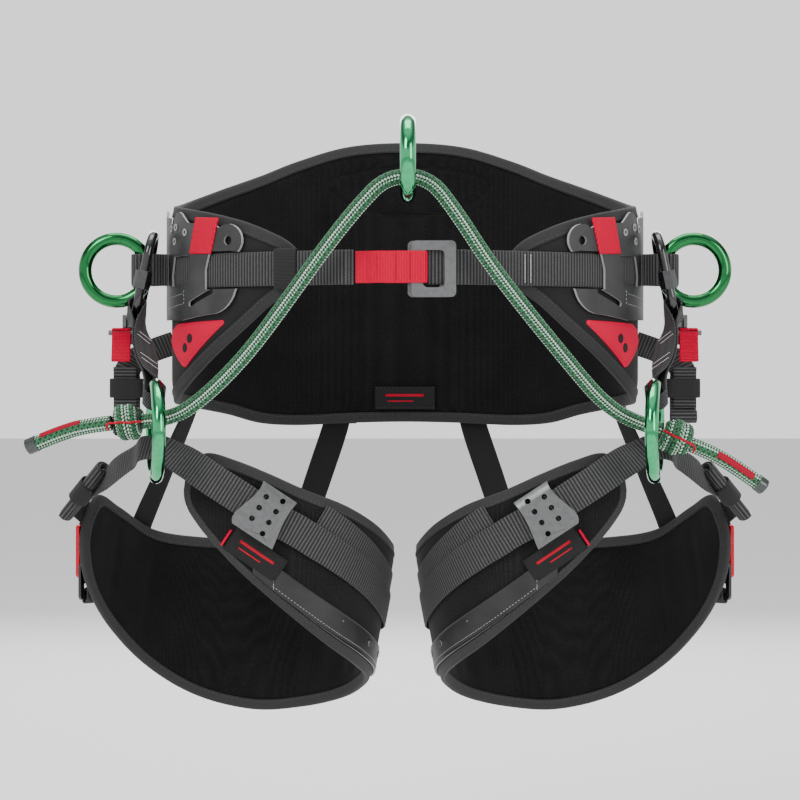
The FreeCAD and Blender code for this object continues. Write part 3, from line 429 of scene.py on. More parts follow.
RED_METAL = metal_material("red_metal", (0.60, 0.001, 0.022), 0.3, 0.6)
ROPE_GREEN = plain_material("rope_green", (0.024, 0.155, 0.060), 0.6, 2.5, sheen=0.1)
ROPE_WHITE = plain_material("rope_white", (0.44, 0.68, 0.50), 0.6, 2.5, sheen=0.1)
ROPE_BLACK = plain_material("rope_black", (0.005, 0.022, 0.011), 0.6, 2.5, sheen=0.1)
ROPE_COLOURS = [ROPE_GREEN, ROPE_WHITE, ROPE_BLACK]
RED_PATCH = plain_material("red_patch", (0.70, 0.0, 0.045), 0.6, 2.0, specular=0.1)
STRIP = laminate_material("leg_strip", (0.005, 0.005, 0.0055), (0.013, 0.013, 0.0135), 0.5)
BACK_STIFFENER = laminate_material("back_stiffener", (0.010, 0.010, 0.011), (0.022, 0.022, 0.023))
CAP = plain_material("rope_end_cap", (0.035, 0.045, 0.040), 0.15, 0.4, specular=0.6)
# The marker strip's own red, darkened to halfway between the lit right strip and the shaded left
# strip: partly real colour, partly painted shade.
MARKER_RED_WITH_PAINTED_SHADE = plain_material("marker_red_with_painted_shade", (0.34, 0.001, 0.020), 0.5, 1.5, specular=0.15)


# ---------------------------------------------------------------- camera
VIEW_HEIGHT = -0.111
camera = bpy.data.objects.new("camera", bpy.data.cameras.new("camera"))
bpy.context.scene.collection.objects.link(camera)
camera.location = (-0.0044, -2.5, VIEW_HEIGHT)
camera.rotation_euler = (math.radians(90), 0, 0)
camera.data.sensor_width = 36
camera.data.lens = 127.8
bpy.context.scene.camera = camera


# ---------------------------------------------------------------- rope
ROPE = 0.013
BRIDGE_ROUTE = [
    (-0.2205, -0.110, -0.129), (-0.196, -0.113, -0.127), (-0.168, -0.125, -0.109),
    (-0.131, -0.142, -0.073), (-0.094, -0.157, -0.024), (-0.064, -0.167, 0.017),
    (-0.038, -0.172, 0.049), (-0.015, -0.1735, 0.0723), (0.019, -0.1735, 0.0723),
    (0.042, -0.172, 0.043), (0.068, -0.166, 0.003), (0.098, -0.156, -0.035),
    (0.135, -0.140, -0.079), (0.164, -0.124, -0.112), (0.190, -0.114, -0.129),
    (0.2155, -0.110, -0.136),
]
TAIL_ROUTES = {
    "l": [(-0.2475, -0.109, -0.1305), (-0.268, -0.104, -0.1325), (-0.294, -0.097, -0.140),
          (-0.320, -0.092, -0.151)],
    "r": [(0.2399, -0.1085, -0.1484), (0.254, -0.105, -0.1535), (0.278, -0.100, -0.1665),
          (0.304, -0.096, -0.185)],
}


def spline_line(route):
    """The smooth line of a NURBS spline whose control points are the route's."""
    curve = bpy.data.curves.new("route", "CURVE")
    curve.dimensions = "3D"
    curve.resolution_u = 24
    spline = curve.splines.new("NURBS")
    spline.points.add(len(route) - 1)
    for point, place in zip(spline.points, route):
        point.co = (*place, 1)
    spline.order_u = 3
    spline.use_endpoint_u = True
    holder = bpy.data.objects.new("route", curve)
    mesh = bpy.data.meshes.new_from_object(holder)
    line = np.array([vertex.co for vertex in mesh.vertices], float)
    bpy.data.meshes.remove(mesh)
    bpy.data.objects.remove(holder)
    bpy.data.curves.remove(curve)
    return line / MM


def steady_frames(line):
    """Frames that don't twist about the line."""
    run = unit(np.gradient(line, axis=0))
    side = np.zeros_like(line)
    hint = BACK if abs(run[0] @ BACK) < 0.8 else UP
    side[0] = unit(hint - run[0] * (hint @ run[0]))
    for index in range(1, len(line)):
        carried = side[index - 1] - run[index] * (side[index - 1] @ run[index])
        side[index] = unit(carried)
    return run, side, np.cross(run, side)


def braid(build, line, radius, lay_length, first_turn=0.0):
    """Twenty-four flat strands, twelve each way, that pass over and under each other."""
    line, along = evened(line, lay_length / 60)
    run, side, face = steady_frames(line)
    count = 12
    green, white, black = range(3)
    lean = math.atan(2 * math.pi * radius / lay_length)
    half_wide = 0.98 * math.pi * radius * math.cos(lean) / count
    half_thick = 0.085 * radius
    section = np.array([(-1.0, -0.3), (-0.55, 0.75), (0.0, 1.0), (0.55, 0.75), (1.0, -0.3),
                        (0.0, -1.0)]) * np.array([half_wide, half_thick])
    for way in (1, -1):
        for index in range(count):
            turn = way * 2 * math.pi * along / lay_length + 2 * math.pi * index / count
            out = np.cos(turn)[:, None] * side + np.sin(turn)[:, None] * face
            around = np.cos(turn)[:, None] * face - np.sin(turn)[:, None] * side
            over = way * np.cos(count * turn)
            height = radius - 1.7 * half_thick + 0.8 * half_thick * over
            travel = unit(run * math.cos(lean) + around * (way * math.sin(lean)))
            across = unit(np.cross(out, travel))
            points, faces, lay = swept(line + out * height[:, None], across, out, section, along)
            bright = np.cos(4 * (turn + first_turn)) > -0.1
            if way > 0:
                colour = np.where(bright, white, green)
            else:
                colour = np.where(bright, black, black if index % 2 else green)
            colours = np.concatenate([np.repeat(colour[:-1], len(section)), [green, green]])
            build.add(points, turned(faces), lay)
            build.indices[-len(faces):] = [int(value) for value in colours]
    points, faces, lay = tube(line, radius * 0.84, 16)
    build.add(points, turned(faces), lay, black)


ROPE_LAY = 31.0


def make_rope():
    line = spline_line(BRIDGE_ROUTE)
    build = Build()
    braid(build, line, ROPE / MM / 2, ROPE_LAY)
    bridge = build.piece("bridge_rope_cover", ROPE_COLOURS, "bridge", "rope")
    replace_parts(bridge, "bridge_rope")
    for side, _ in SIDES:
        route = TAIL_ROUTES[side]
        tail_line = spline_line(route)
        build = Build()
        braid(build, tail_line, ROPE / MM / 2, ROPE_LAY, 0.7)
        tail = build.piece("rope_tail_cover_" + side, ROPE_COLOURS, "bridge", "rope")
        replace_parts(tail, "rope_tail_" + side)
        sleeve = make_tail_sleeve(side, tail_line)
        sleeve + make_knot(side)


CAP_LONG = 9
MARKER_START, MARKER_END = 52, 14


def make_tail_sleeve(side, line):
    """A shrunk cap on the rope's end, and a red marker strip sewn along the rope."""
    fine, along = evened(line, 1.0)
    run = unit(np.gradient(fine, axis=0))
    cap = along > along[-1] - CAP_LONG
    radius = np.full(cap.sum(), ROPE / MM / 2 + 0.6)
    radius[-1] = 5.0
    shift = np.linspace(0, 0.9, cap.sum())[:, None] * run[cap]
    sleeve = lone("rope_end_cap_" + side, tube(fine[cap] + shift, radius, 28), CAP, "bridge")
    strip = (along > along[-1] - MARKER_START) & (along < along[-1] - MARKER_END)
    facing = UP * 0.85 - BACK * 0.6 if side == "l" else UP * 0.35 - BACK
    front = np.tile(facing, (strip.sum(), 1))
    out = unit(front - run[strip] * np.sum(front * run[strip], axis=1, keepdims=True))
    around = np.cross(run[strip], out)
    rows = []
    for angle in np.linspace(-0.42, 0.42, 9):
        radius_here = ROPE / MM / 2 + 0.75 * math.cos(angle * 2.2)
        rows.append(fine[strip] + radius_here * (out * math.cos(angle) + around * math.sin(angle)))
    lower = [row - out * 0.8 for row in rows]
    points = np.stack(rows + lower[::-1], axis=1)
    columns = points.shape[1]
    lay = np.repeat(along[strip][:, None, None], columns, axis=1) * np.array([0.0, 1.0, 0.0])
    faces = grid_faces(len(points), columns, False, True) + end_faces(len(points), columns)
    made = points.reshape(-1, 3), faces, lay.reshape(-1, 3)
    # The marker strip's red carries painted shade, darkened halfway toward the shaded left strip on
    # both sides.
    return [sleeve, lone("rope_end_strip_" + side, made, MARKER_RED_WITH_PAINTED_SHADE, "bridge", "red_fabric")]


KNOT_RADIUS, KNOT_WRAP, KNOT_LAY = 15.5, 6.0, 26.0


def make_knot(side):
    """Two turns and a bit of the rope round itself, and the red thread across them."""
    start = np.array(BRIDGE_ROUTE[0] if side == "l" else BRIDGE_ROUTE[-1]) / MM
    end = np.array(TAIL_ROUTES[side][0]) / MM
    run = unit(end - start)
    long = np.linalg.norm(end - start)
    first = unit(np.cross(run, UP))
    second = np.cross(run, first)
    orbit = KNOT_RADIUS - KNOT_WRAP
    turn = np.linspace(-0.9, 2.15 * 2 * math.pi, 150)
    share = (turn - turn[0]) / (turn[-1] - turn[0])
    ahead = KNOT_WRAP * 0.95 + (long - 1.9 * KNOT_WRAP) * share
    line = (start + run * ahead[:, None] + first * (orbit * np.cos(turn))[:, None]
            + second * (orbit * np.sin(turn))[:, None])
    build = Build()
    braid(build, line, KNOT_WRAP, KNOT_LAY)
    core, _ = evened(np.array([start + run * 3, end - run * 3]), 2.0)
    points, faces, lay = tube(core, 8.0, 16)
    build.add(points, faces, lay, 2)
    knot = build.piece("rope_knot_turns_" + side, ROPE_COLOURS, "bridge", "rope")
    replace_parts(knot, "rope_knot_" + side)
    out = unit(-BACK - run * (-BACK @ run))
    spots = [(-0.02, 0.0, 0), (0.2, 0.3, 0), (0.35, 0.2, 0.4), (0.5, -0.5, 0), (0.65, 0.2, -0.3),
             (0.8, 0.3, 0), (1.0, 0.0, 0), (1.08, -2.5, 2), (1.02, -3.5, 6)]
    drop = unit(-UP - out * (-UP @ out))
    thread = [start + run * (long * a) + out * (KNOT_RADIUS + b) + drop * c for a, b, c in spots]
    thread = tube(catmull(thread, 8), 0.95, 8)
    return [knot, lone("knot_thread_" + side, thread, RED_THREAD, "bridge")]


make_rope()


# ---------------------------------------------------------------- webbing
def webbing(name, points, sides, width, thick, body, made_of, slot=None, sign=1, rib=0.3,
            pitch=RIB_PITCH, replaces=()):
    """Woven webbing along a line: rounded edges and raised ribs across it."""
    rows = catmull(np.hstack([np.asarray(points, float), unit(np.asarray(sides, float))]))
    rows, along = evened(rows, pitch / 4 if rib else 2.5)
    side, face = frames_along(rows[:, :3], rows[:, 3:6])
    ridge = rib * (0.5 + 0.5 * np.cos(2 * math.pi * along / pitch))
    half_wide = width / 2 - rib * 0.5 + ridge * 0.5
    half_thick = thick / 2 - rib + ridge
    outline = [(-1, 0), (-0.975, 0.6), (-0.92, 0.92), (-0.6, 1), (0, 1), (0.6, 1), (0.92, 0.92),
               (0.975, 0.6), (1, 0)]
    outline += [(a, -b) for a, b in outline[-2:0:-1]]
    outline = np.array(outline)
    profile = outline[None] * np.stack([half_wide, half_thick], axis=1)[:, None, :]
    made = swept(rows[:, :3], side, face, profile, along)
    piece = lone(name, made, made_of, body, slot, sign)
    if replaces:
        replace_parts(piece, *replaces)
    return piece


def blend_row(rows, place):
    fine = catmull(rows, 12)
    return np.array([np.interp(np.asarray(place) * 12, np.arange(len(fine)), column)
                     for column in fine.T]).T


def web_loop_line(start, end, start_radius, end_radius, wide, thick, slack=0.9, count=13):
    """The line of webbing that goes round a bar at each end."""
    run = end - start
    long = np.linalg.norm(run)
    along = unit(run)

    def spread(distance, radius):
        return (radius - slack) * max(0.0, 1 - distance / (3 * radius)) ** 1.2

    front, back, faces, sides = [], [], [], []
    for part in np.linspace(0, 1, count):
        side = unit(blend_row(wide, 2 * part))
        side = unit(side - along * (side @ along))
        face = unit(np.cross(along, side))
        gap = slack + thick / 2 + spread(part * long, start_radius)
        gap += spread((1 - part) * long, end_radius)
        front.append(start + run * part + face * gap)
        back.append(start + run * part - face * gap)
        faces.append(face)
        sides.append(side)

    def turn(centre, radius, face, outward, flip):
        spots = np.radians(np.linspace(0, 180, 9)[1:-1])
        return [centre + (face * (flip * math.cos(spot)) + outward * math.sin(spot))
                * (radius + thick / 2) for spot in spots]

    points = front + turn(end, end_radius, faces[-1], along, 1) + back[::-1]
    all_sides = sides + [sides[-1]] * 7 + sides[::-1]
    if start_radius > slack:
        points += turn(start, start_radius, faces[0], -along, -1)
        all_sides += [sides[0]] * 7
    return np.array(points), np.array(all_sides)


# ---------------------------------------------------------------- the belt's oval
HALF_WIDE, HALF_DEEP = 200.0, 132.0
BELT_END = 155.0
BELT_EDGES = [
    (0, 126, -130), (15, 122, -131), (29, 108, -133), (41, 93, -131), (53, 81, -123),
    (66, 70, -118), (79, 62, -115), (92, 58, -112), (104, 55, -104), (116, 51, -89),
    (127, 46, -70), (137, 39, -50), (145, 30, -31), (151, 20, -18), (155, 6, -4),
]
EDGE_ROWS = catmull([(-15, 122, -131)] + BELT_EDGES, 12)


def belt_edge(degrees):
    angle = np.abs(degrees)
    return (np.interp(angle, EDGE_ROWS[:, 0], EDGE_ROWS[:, 1]),
            np.interp(angle, EDGE_ROWS[:, 0], EDGE_ROWS[:, 2]))


def belt_normal(degrees):
    angle = np.radians(np.asarray(degrees, float))
    return unit(np.stack([np.sin(angle) / HALF_WIDE, np.cos(angle) / HALF_DEEP,
                          np.zeros_like(angle)], axis=-1))


def belt_point(degrees, offset, height):
    angle = np.radians(np.asarray(degrees, float))
    place = np.stack([HALF_WIDE * np.sin(angle), HALF_DEEP * np.cos(angle),
                      np.broadcast_to(np.asarray(height, float), angle.shape)], axis=-1)
    return place + belt_normal(degrees) * np.asarray(offset, float)[..., None]


class Panel:
    """A ruled sheet between a top and a bottom line, with a direction out of it."""

    def __init__(self, tops, bottoms, normals, corner):
        middle = (tops + bottoms) / 2
        rows, _ = evened(np.hstack([middle, tops, bottoms, normals]), 0.8)
        self.top, self.bottom = rows[:, 3:6], rows[:, 6:9]
        self.normal = unit(rows[:, 9:12])
        self.length = float(np.linalg.norm(np.diff(rows[:, :3], axis=0), axis=1).sum())
        self.high = np.linalg.norm(self.top - self.bottom, axis=1)
        self.corner = corner

    def row(self, x, values):
        place = np.clip(np.asarray(x, float) / self.length, 0, 1) * (len(values) - 1)
        low = np.minimum(place.astype(int), len(values) - 2)
        part = place - low
        part = part[..., None] if values.ndim == 2 else part
        return values[low] * (1 - part) + values[low + 1] * part

    def height(self, x):
        return self.row(x, self.high)

    def half(self, x):
        """Half the height at a distance from the start, less the rounding of the corners."""
        x = np.asarray(x, float)
        near = np.minimum(x, self.length - x)
        into = np.clip(self.corner - near, 0, self.corner)
        return self.height(x) / 2 - (self.corner - np.sqrt(self.corner ** 2 - into ** 2))

    def at(self, x, y, offset):
        """A point: x along, y up from the middle line, offset out of the sheet."""
        share = (np.asarray(y, float) / self.height(x) + 0.5)[..., None]
        place = self.row(x, self.bottom) * (1 - share) + self.row(x, self.top) * share
        return place + self.row(x, self.normal) * np.asarray(offset, float)[..., None]

    def edge_distance(self, x, y):
        return np.minimum(np.minimum(x, self.length - x), self.half(x) - np.abs(y))

    def outline(self, step):
        """Evenly spaced (x, y) round the edge, anticlockwise, and the way inwards."""
        long = np.linspace(0, self.length, 500)
        top = np.stack([long, self.half(long)], axis=1)
        bottom = top[::-1] * np.array([1, -1])
        loop = np.vstack([bottom[::-1], top[::-1]])
        loop = np.vstack([loop, loop[:1]])
        seen = np.concatenate([[True], np.linalg.norm(np.diff(loop, axis=0), axis=1) > 1e-6])
        loop = loop[seen]
        along = np.concatenate([[0], np.cumsum(np.linalg.norm(np.diff(loop, axis=0), axis=1))])
        count = int(along[-1] / step)
        at = np.linspace(0, along[-1], count, endpoint=False)
        even = np.stack([np.interp(at, along, loop[:, k]) for k in (0, 1)], axis=1)
        ahead = unit(np.roll(even, -2, axis=0) - np.roll(even, 2, axis=0))
        inward = np.stack([-ahead[:, 1], ahead[:, 0]], axis=1)
        return even, inward, at


class PadShape:
    """How thick a pad is: its two faces come together near its edge."""

    def __init__(self, inside, outside, edge_inside, edge_outside, reach=13.0):
        self.values = (inside, outside, edge_inside, edge_outside, reach)

    def inner(self, distance):
        inside, _, edge_inside, _, reach = self.values
        return edge_inside + (inside - edge_inside) * smoothstep(distance / reach)

    def outer(self, distance):
        _, outside, _, edge_outside, reach = self.values
        return edge_outside + (outside - edge_outside) * smoothstep(distance / reach)


def pad_mesh(panel, shape, step, name, materials, body, sign):
    """A closed pad; its first half of vertices is the inner face, the second the outer."""
    columns = max(6, int(round(float(np.max(panel.high)) / step)))
    rows = int(round(panel.length / step))
    x = np.linspace(0, panel.length, rows)[:, None] * np.ones(columns)
    share = np.linspace(-1, 1, columns)[None, :] * np.ones((rows, 1))
    y = share * panel.half(x)
    distance = np.maximum(panel.edge_distance(x, y), 0)
    inner = panel.at(x, y, shape.inner(distance))
    outer = panel.at(x, y, shape.outer(distance))
    lay = np.stack([y, x, np.zeros_like(x)], axis=-1).reshape(-1, 3)
    points = np.vstack([inner.reshape(-1, 3), outer.reshape(-1, 3)])
    inner_faces = grid_faces(rows, columns, flip=True)
    outer_faces = grid_faces(rows, columns, first=rows * columns)
    faces = inner_faces + outer_faces + rim_faces(rows, columns)
    indices = [0] * len(inner_faces) + [1] * (len(faces) - len(inner_faces))
    if sign < 0:
        points = points * np.array([-1.0, 1.0, 1.0])
        faces = turned(faces)
    second = lay + np.array([0, 0, 1.0])
    piece = mesh_piece(name, points, faces, materials, body, np.vstack([lay, second]),
                       indices)
    return piece, np.concatenate([distance.ravel(), distance.ravel()]), rows * columns


def inflate(piece, held, caps):
    """Cloth with pressure inside lifts the free faces of a pad between what holds them."""
    scene = bpy.context.scene
    mesh = piece.data
    rest = np.array([vertex.co for vertex in mesh.vertices])
    group = piece.vertex_groups.new(name="held")
    group.add(np.nonzero(held)[0].tolist(), 1.0, "REPLACE")
    cloth = piece.modifiers.new("Cloth", "CLOTH")
    cloth.settings.quality = 4
    cloth.settings.mass = 0.3
    cloth.settings.use_pressure = True
    cloth.settings.uniform_pressure_force = 4.0
    cloth.settings.effector_weights.gravity = 0
    cloth.settings.vertex_group_mass = "held"
    cloth.settings.tension_stiffness = 12
    cloth.settings.compression_stiffness = 12
    cloth.settings.bending_stiffness = 0.8
    cloth.collision_settings.use_collision = False
    for number in range(1, 21):
        scene.frame_set(number)
    shown = piece.evaluated_get(bpy.context.evaluated_depsgraph_get())
    moved = np.array([vertex.co for vertex in shown.data.vertices]) - rest
    piece.modifiers.remove(cloth)
    piece.vertex_groups.remove(group)
    scene.frame_set(1)
    far = np.linalg.norm(moved, axis=1, keepdims=True)
    cap = caps[:, None] * MM
    eased = cap * np.tanh(far / np.maximum(cap, 1e-9))
    moved *= np.where(far > 0, eased / np.maximum(far, 1e-12), 0)
    mesh.vertices.foreach_set("co", (rest + moved).astype(np.float32).ravel())
    mesh.update()


def subdivided(piece):
    """One level of subdivision, made part of the mesh."""
    modifier = piece.modifiers.new("smooth", "SUBSURF")
    modifier.levels = 1
    modifier.render_levels = 1
    shown = piece.evaluated_get(bpy.context.evaluated_depsgraph_get())
    mesh = bpy.data.meshes.new_from_object(shown, preserve_all_data_layers=True,
                                           depsgraph=bpy.context.evaluated_depsgraph_get())
    piece.modifiers.remove(modifier)
    old = piece.data
    piece.data = mesh
    bpy.data.meshes.remove(old)


def read_lay(mesh):
    values = np.zeros(len(mesh.vertices) * 3, np.float32)
    mesh.attributes["lay"].data.foreach_get("vector", values)
    return values.reshape(-1, 3)


def sew(piece, seams, side, depth=1.3, reach=3.2):
    """Sink a face of a pad along seams, each a list of (x, y) on its panel."""
    mesh = piece.data
    lay = read_lay(mesh)
    normals = np.array([vertex.normal for vertex in mesh.vertices])
    points = np.array([vertex.co for vertex in mesh.vertices])
    on_side = np.abs(lay[:, 2] - side) < 0.3
    nearest = np.full(len(lay), 99.0)
    for seam in seams:
        fine, _ = evened(flat(seam), 1.5)
        for start in range(0, len(lay), 4000):
            some = slice(start, start + 4000)
            away = np.hypot(lay[some, 1, None] - fine[None, :, 0],
                            lay[some, 0, None] - fine[None, :, 1])
            nearest[some] = np.minimum(nearest[some], away.min(axis=1))
    sink = depth * np.exp(-(nearest / (reach * 0.5)) ** 2) * on_side
    points -= normals * (sink * MM)[:, None]
    mesh.vertices.foreach_set("co", points.astype(np.float32).ravel())
    mesh.update()


BIND_WIDE = 8.2
BIND_THICK = 0.9
BIND_CLEAR = 0.35


def binding(panel, shape, name, body, sign, slot=None, overlap=None):
    """Tape folded round the pad's edge, with a line of stitches near each of its edges."""
    even, inward, along = panel.outline(1.1)
    count = len(even)
    lift = np.full(count, BIND_THICK)
    if overlap is not None:
        share = along / along[-1]
        lift = lift + 0.7 * ((share > overlap[0]) & (share < overlap[1]))
    rows = []
    edge = panel.at(even[:, 0], even[:, 1], np.zeros(count))
    within = even + inward * 3
    outward = unit(edge - panel.at(within[:, 0], within[:, 1], np.zeros(count)))
    normal = panel.row(even[:, 0], panel.normal)
    low, high = float(shape.inner(0.0)), float(shape.outer(0.0))

    def on(distance, face, more):
        place = even + inward * distance
        base = shape.inner(distance) if face < 0 else shape.outer(distance)
        clear = BIND_CLEAR * (face < 0) * (more > 0)
        return panel.at(place[:, 0], place[:, 1], base + face * more - clear)

    for distance, face, share in ((BIND_WIDE, -1, -1.2), (BIND_WIDE, -1, 0.85), (6, -1, 1),
                                  (3, -1, 1), (0.6, -1, 1)):
        rows.append(on(distance, face, lift * share))
    for reach, level in ((0.75, low - 0.45), (1.25, low * 0.6 + high * 0.4),
                         (1.25, low * 0.4 + high * 0.6), (0.75, high + 0.45)):
        rows.append(edge + outward * (reach + lift - BIND_THICK)[:, None] + normal * level)
    for distance, face, share in ((0.6, 1, 1), (3, 1, 1), (6, 1, 1), (BIND_WIDE, 1, 0.85),
                                  (BIND_WIDE, 1, -1.2)):
        rows.append(on(distance, face, lift * share))
    points = np.stack(rows, axis=1)
    columns = points.shape[1]
    lay = np.zeros((count, columns, 3))
    lay[:, :, 0] = np.linspace(-10, 10, columns)
    lay[:, :, 1] = along[:, None]
    faces = grid_faces(count, columns, True, True, flip=True)
    made = points.reshape(-1, 3), faces, lay.reshape(-1, 3)
    lone(name + "_binding", made, BINDING, body, slot, sign)
    spaced = int(along[-1] / 3.7)
    pick = np.linspace(0, count - 1, spaced).astype(int)
    build = Build()
    travel = unit(np.roll(edge, -3, axis=0) - np.roll(edge, 3, axis=0))
    for face in (-1, 1):
        places = on(6.3, face, lift + 0.02)[pick]
        stitches(build, places, travel[pick], normal[pick] * face, 2.5, 0.5)
    build.piece(name + "_binding_stitches", THREAD, body, None, sign, smooth=False)


def make_back():
    degrees = np.linspace(-BELT_END, BELT_END, 1200)
    top, bottom = belt_edge(degrees)
    zero = np.zeros_like(degrees)
    panel = Panel(belt_point(degrees, zero, top), belt_point(degrees, zero, bottom),
                  belt_normal(degrees), 5.0)
    shape = PadShape(-4.6, 1.9, -1.2, 1.6)
    pad, distance, half = pad_mesh(panel, shape, 4.0, "back_cushion", [LINING, OUTER], "belt",
                                   1)
    inner = np.arange(len(distance)) < half
    held = ~inner | (distance < 8)
    inflate(pad, held, np.where(inner, np.clip(distance - 8, 0, 12) / 12 * 2.6, 0.0))
    subdivided(pad)

    def spot(x_place, z_place):
        """Panel x, y of a point on the back, from its X and Z."""
        angle = math.degrees(math.asin(x_place / HALF_WIDE))
        fine = np.linspace(-BELT_END, BELT_END, len(panel.top))
        x = np.interp(angle, np.degrees(np.unwrap(np.arctan2(panel.top[:, 0] / HALF_WIDE,
                                                             panel.top[:, 1] / HALF_DEEP))),
                      np.linspace(0, panel.length, len(fine)))
        high, low = belt_edge(angle)
        return x, z_place - (high + low) / 2

    eye = []
    for turn in np.linspace(0, 2 * math.pi, 60):
        across = 4 + 76 * math.cos(turn)
        rise = math.sin(turn) * (17 if math.sin(turn) > 0 else 28)
        eye.append(spot(across, 87.5 + rise * abs(math.sin(turn)) ** 0.25))
    seams = [eye]
    for across, high, low in ((-77, 66, -122), (-43, 56, -122), (-2, 50, -122), (51, 58, -122)):
        seams.append([spot(across + 0.03 * z, z) for z in np.linspace(high, low, 30)])
    sew(pad, seams[:1], 0, 1.3)
    sew(pad, seams[1:], 0, 0.8, 2.6)
    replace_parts(pad, "back_pad")

    outer = PadShape(2.6, 4.9, 1.7, 2.5, 18.0)
    shell, distance, half = pad_mesh(panel, outer, 4.5, "belt_outer_shell", [SHELL, SHELL],
                                     "belt", 1)
    subdivided(shell)
    stiff = []
    for degrees_here in np.linspace(-60, 60, 80):
        high, low = belt_edge(degrees_here)
        stiff.append((degrees_here, (high - low) / 2 - 22))
    x_of = np.interp([a for a, _ in stiff], [-BELT_END, BELT_END], [0, panel.length])
    upper = [(x, y) for x, (_, y) in zip(x_of, stiff)]
    lower = [(x, -y) for x, y in upper][::-1]
    seam = upper + lower + upper[:1]
    sew(shell, [seam], 1, 1.2, 4.0)
    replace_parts(shell, "belt_shell")
    both = PadShape(-4.6, 4.9, -1.2, 2.5)
    binding(panel, both, "belt", "belt", 1, "lining_mesh", (0.223, 0.2265))
    build = Build()
    line, _ = evened(flat(seam), 3.6)
    places = panel.at(line[:, 0], line[:, 1], np.full(len(line), 4.9 - 0.9))
    out = panel.row(line[:, 0], panel.normal)
    stitches(build, places, np.gradient(places, axis=0), out, 2.5, 0.7)
    build.piece("shell_stitches", THREAD, "belt", None, 1, smooth=False)
    make_back_label()


def slab(panel_point, wide, high, thick, steps_wide=12, steps_high=8, soft=0.5):
    """A thin patch: panel_point(a, b, offset) gives its points; its edges are rounded."""
    a, b = np.meshgrid(np.linspace(-1, 1, steps_wide), np.linspace(-1, 1, steps_high),
                       indexing="ij")
    near = np.minimum(wide / 2 * (1 - np.abs(a)), high / 2 * (1 - np.abs(b)))
    lift = thick * (1 - 0.6 * np.exp(-near / soft))
    over = panel_point(a * wide / 2, b * high / 2, lift)
    under = panel_point(a * wide / 2, b * high / 2, np.zeros_like(lift))
    rows, columns = a.shape
    lay = np.stack([b * high / 2, a * wide / 2, lift], axis=-1).reshape(-1, 3)
    points = np.vstack([over.reshape(-1, 3), under.reshape(-1, 3)])
    faces = grid_faces(rows, columns) + grid_faces(rows, columns, first=rows * columns, flip=True)
    return points, faces + rim_faces(rows, columns, flip=True), np.vstack([lay, lay])


def make_back_label():
    """A black woven label with plain bars on it."""
    low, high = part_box("belt_label")
    middle = (low.z + high.z) / 2 / MM
    degrees_per_mm = 8.2 / ((high.x - low.x) / 2 / MM)
    base = -5.3 - 2.3

    def place(a, b, offset):
        return belt_point(a * degrees_per_mm, base - offset, middle + b)

    def shifted(x, z, wide, tall, thick, start):
        def inner_place(a, b, offset):
            return place(x + a, z + b, start + offset)
        return slab(inner_place, wide, tall, thick, 10, 6)

    build = Build()
    points, faces, lay = slab(place, 56, 21, 1.0, 20, 8)
    build.add(points, turned(faces), lay)
    cloth = build.piece("back_label_cloth", LABEL, "belt", "label")
    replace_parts(cloth, "belt_label")
    build = Build()
    for x, z, wide, tall in ((0, 2.4, 36, 2.4), (-4, -3, 24, 1.2)):
        points, faces, lay = shifted(x, z, wide, tall, 0.3, 1.0)
        build.add(points, turned(faces), lay)
    build.piece("back_label_bars", RED_THREAD, "belt", "label")
    build = Build()
    spots = np.linspace(-26, 26, 15)
    for z in (-9.3, 9.3):
        places = np.array([place(x, z, 1.0) for x in spots])
        stitches(build, places, np.gradient(places, axis=0), -belt_normal(spots * degrees_per_mm),
                 2.4, 0.4)
    build.piece("back_label_stitches", THREAD, "belt", None, 1, smooth=False)


make_back()


# ---------------------------------------------------------------- metal and hard pieces
def finish_node(name, *materials, bevel=0.0, edge_test=None):
    """Give a kept CAD piece its finish, and soften its sharp edges."""
    piece = nodes[name]
    piece.data.materials.clear()
    for made in materials:
        piece.data.materials.append(made)
    if edge_test:
        indices = [int(edge_test(polygon)) for polygon in piece.data.polygons]
        piece.data.polygons.foreach_set("material_index", indices)
    if bevel:
        weld = piece.modifiers.new("weld", "WELD")
        weld.merge_threshold = 0.00002
        rounding = piece.modifiers.new("edge", "BEVEL")
        rounding.width = bevel * MM
        rounding.segments = 2
        rounding.limit_method = "ANGLE"
        rounding.angle_limit = math.radians(40)
        rounding.use_clamp_overlap = True
        shading = piece.modifiers.new("shading", "WEIGHTED_NORMAL")
        shading.keep_sharp = False


def plate_edge(polygon):
    place = np.array(polygon.center) / MM
    degrees = math.degrees(math.atan2(place[0] / HALF_WIDE, place[1] / HALF_DEEP))
    return abs(belt_normal(degrees) @ np.array(polygon.normal)) < 0.6


def make_metal():
    finish_node("buckle_front_frame", GREY_METAL, bevel=0.8)
    finish_node("buckle_rear_frame", GREY_METAL, bevel=0.8)
    finish_node("slide_ring", MINT_GREEN)
    finish_node("plate_eyelets", CUT_EDGE, bevel=0.25)
    finish_node("back_stiffener", BACK_STIFFENER)
    for side, _ in SIDES:
        finish_node("side_ring_" + side, DARK_GREEN)
        finish_node("bridge_ring_" + side, MINT_GREEN)
        finish_node("screw_link_" + side, BLACK_METAL)
        finish_node("link_nut_" + side, RIVET, bevel=0.6)
        finish_node("side_plate_" + side, LAMINATE, CUT_EDGE, edge_test=plate_edge)
        finish_node("leg_plate_" + side, PLATE_GREY, bevel=0.35)
        finish_node("leg_rivets_" + side, STEEL, bevel=0.3)
        finish_node("leg_hook_" + side, RED_METAL, bevel=0.6)
        finish_node("leg_frame_" + side, BLACK_METAL, bevel=0.6)
        finish_node("hip_buckle_" + side, GREY_METAL, bevel=0.5)


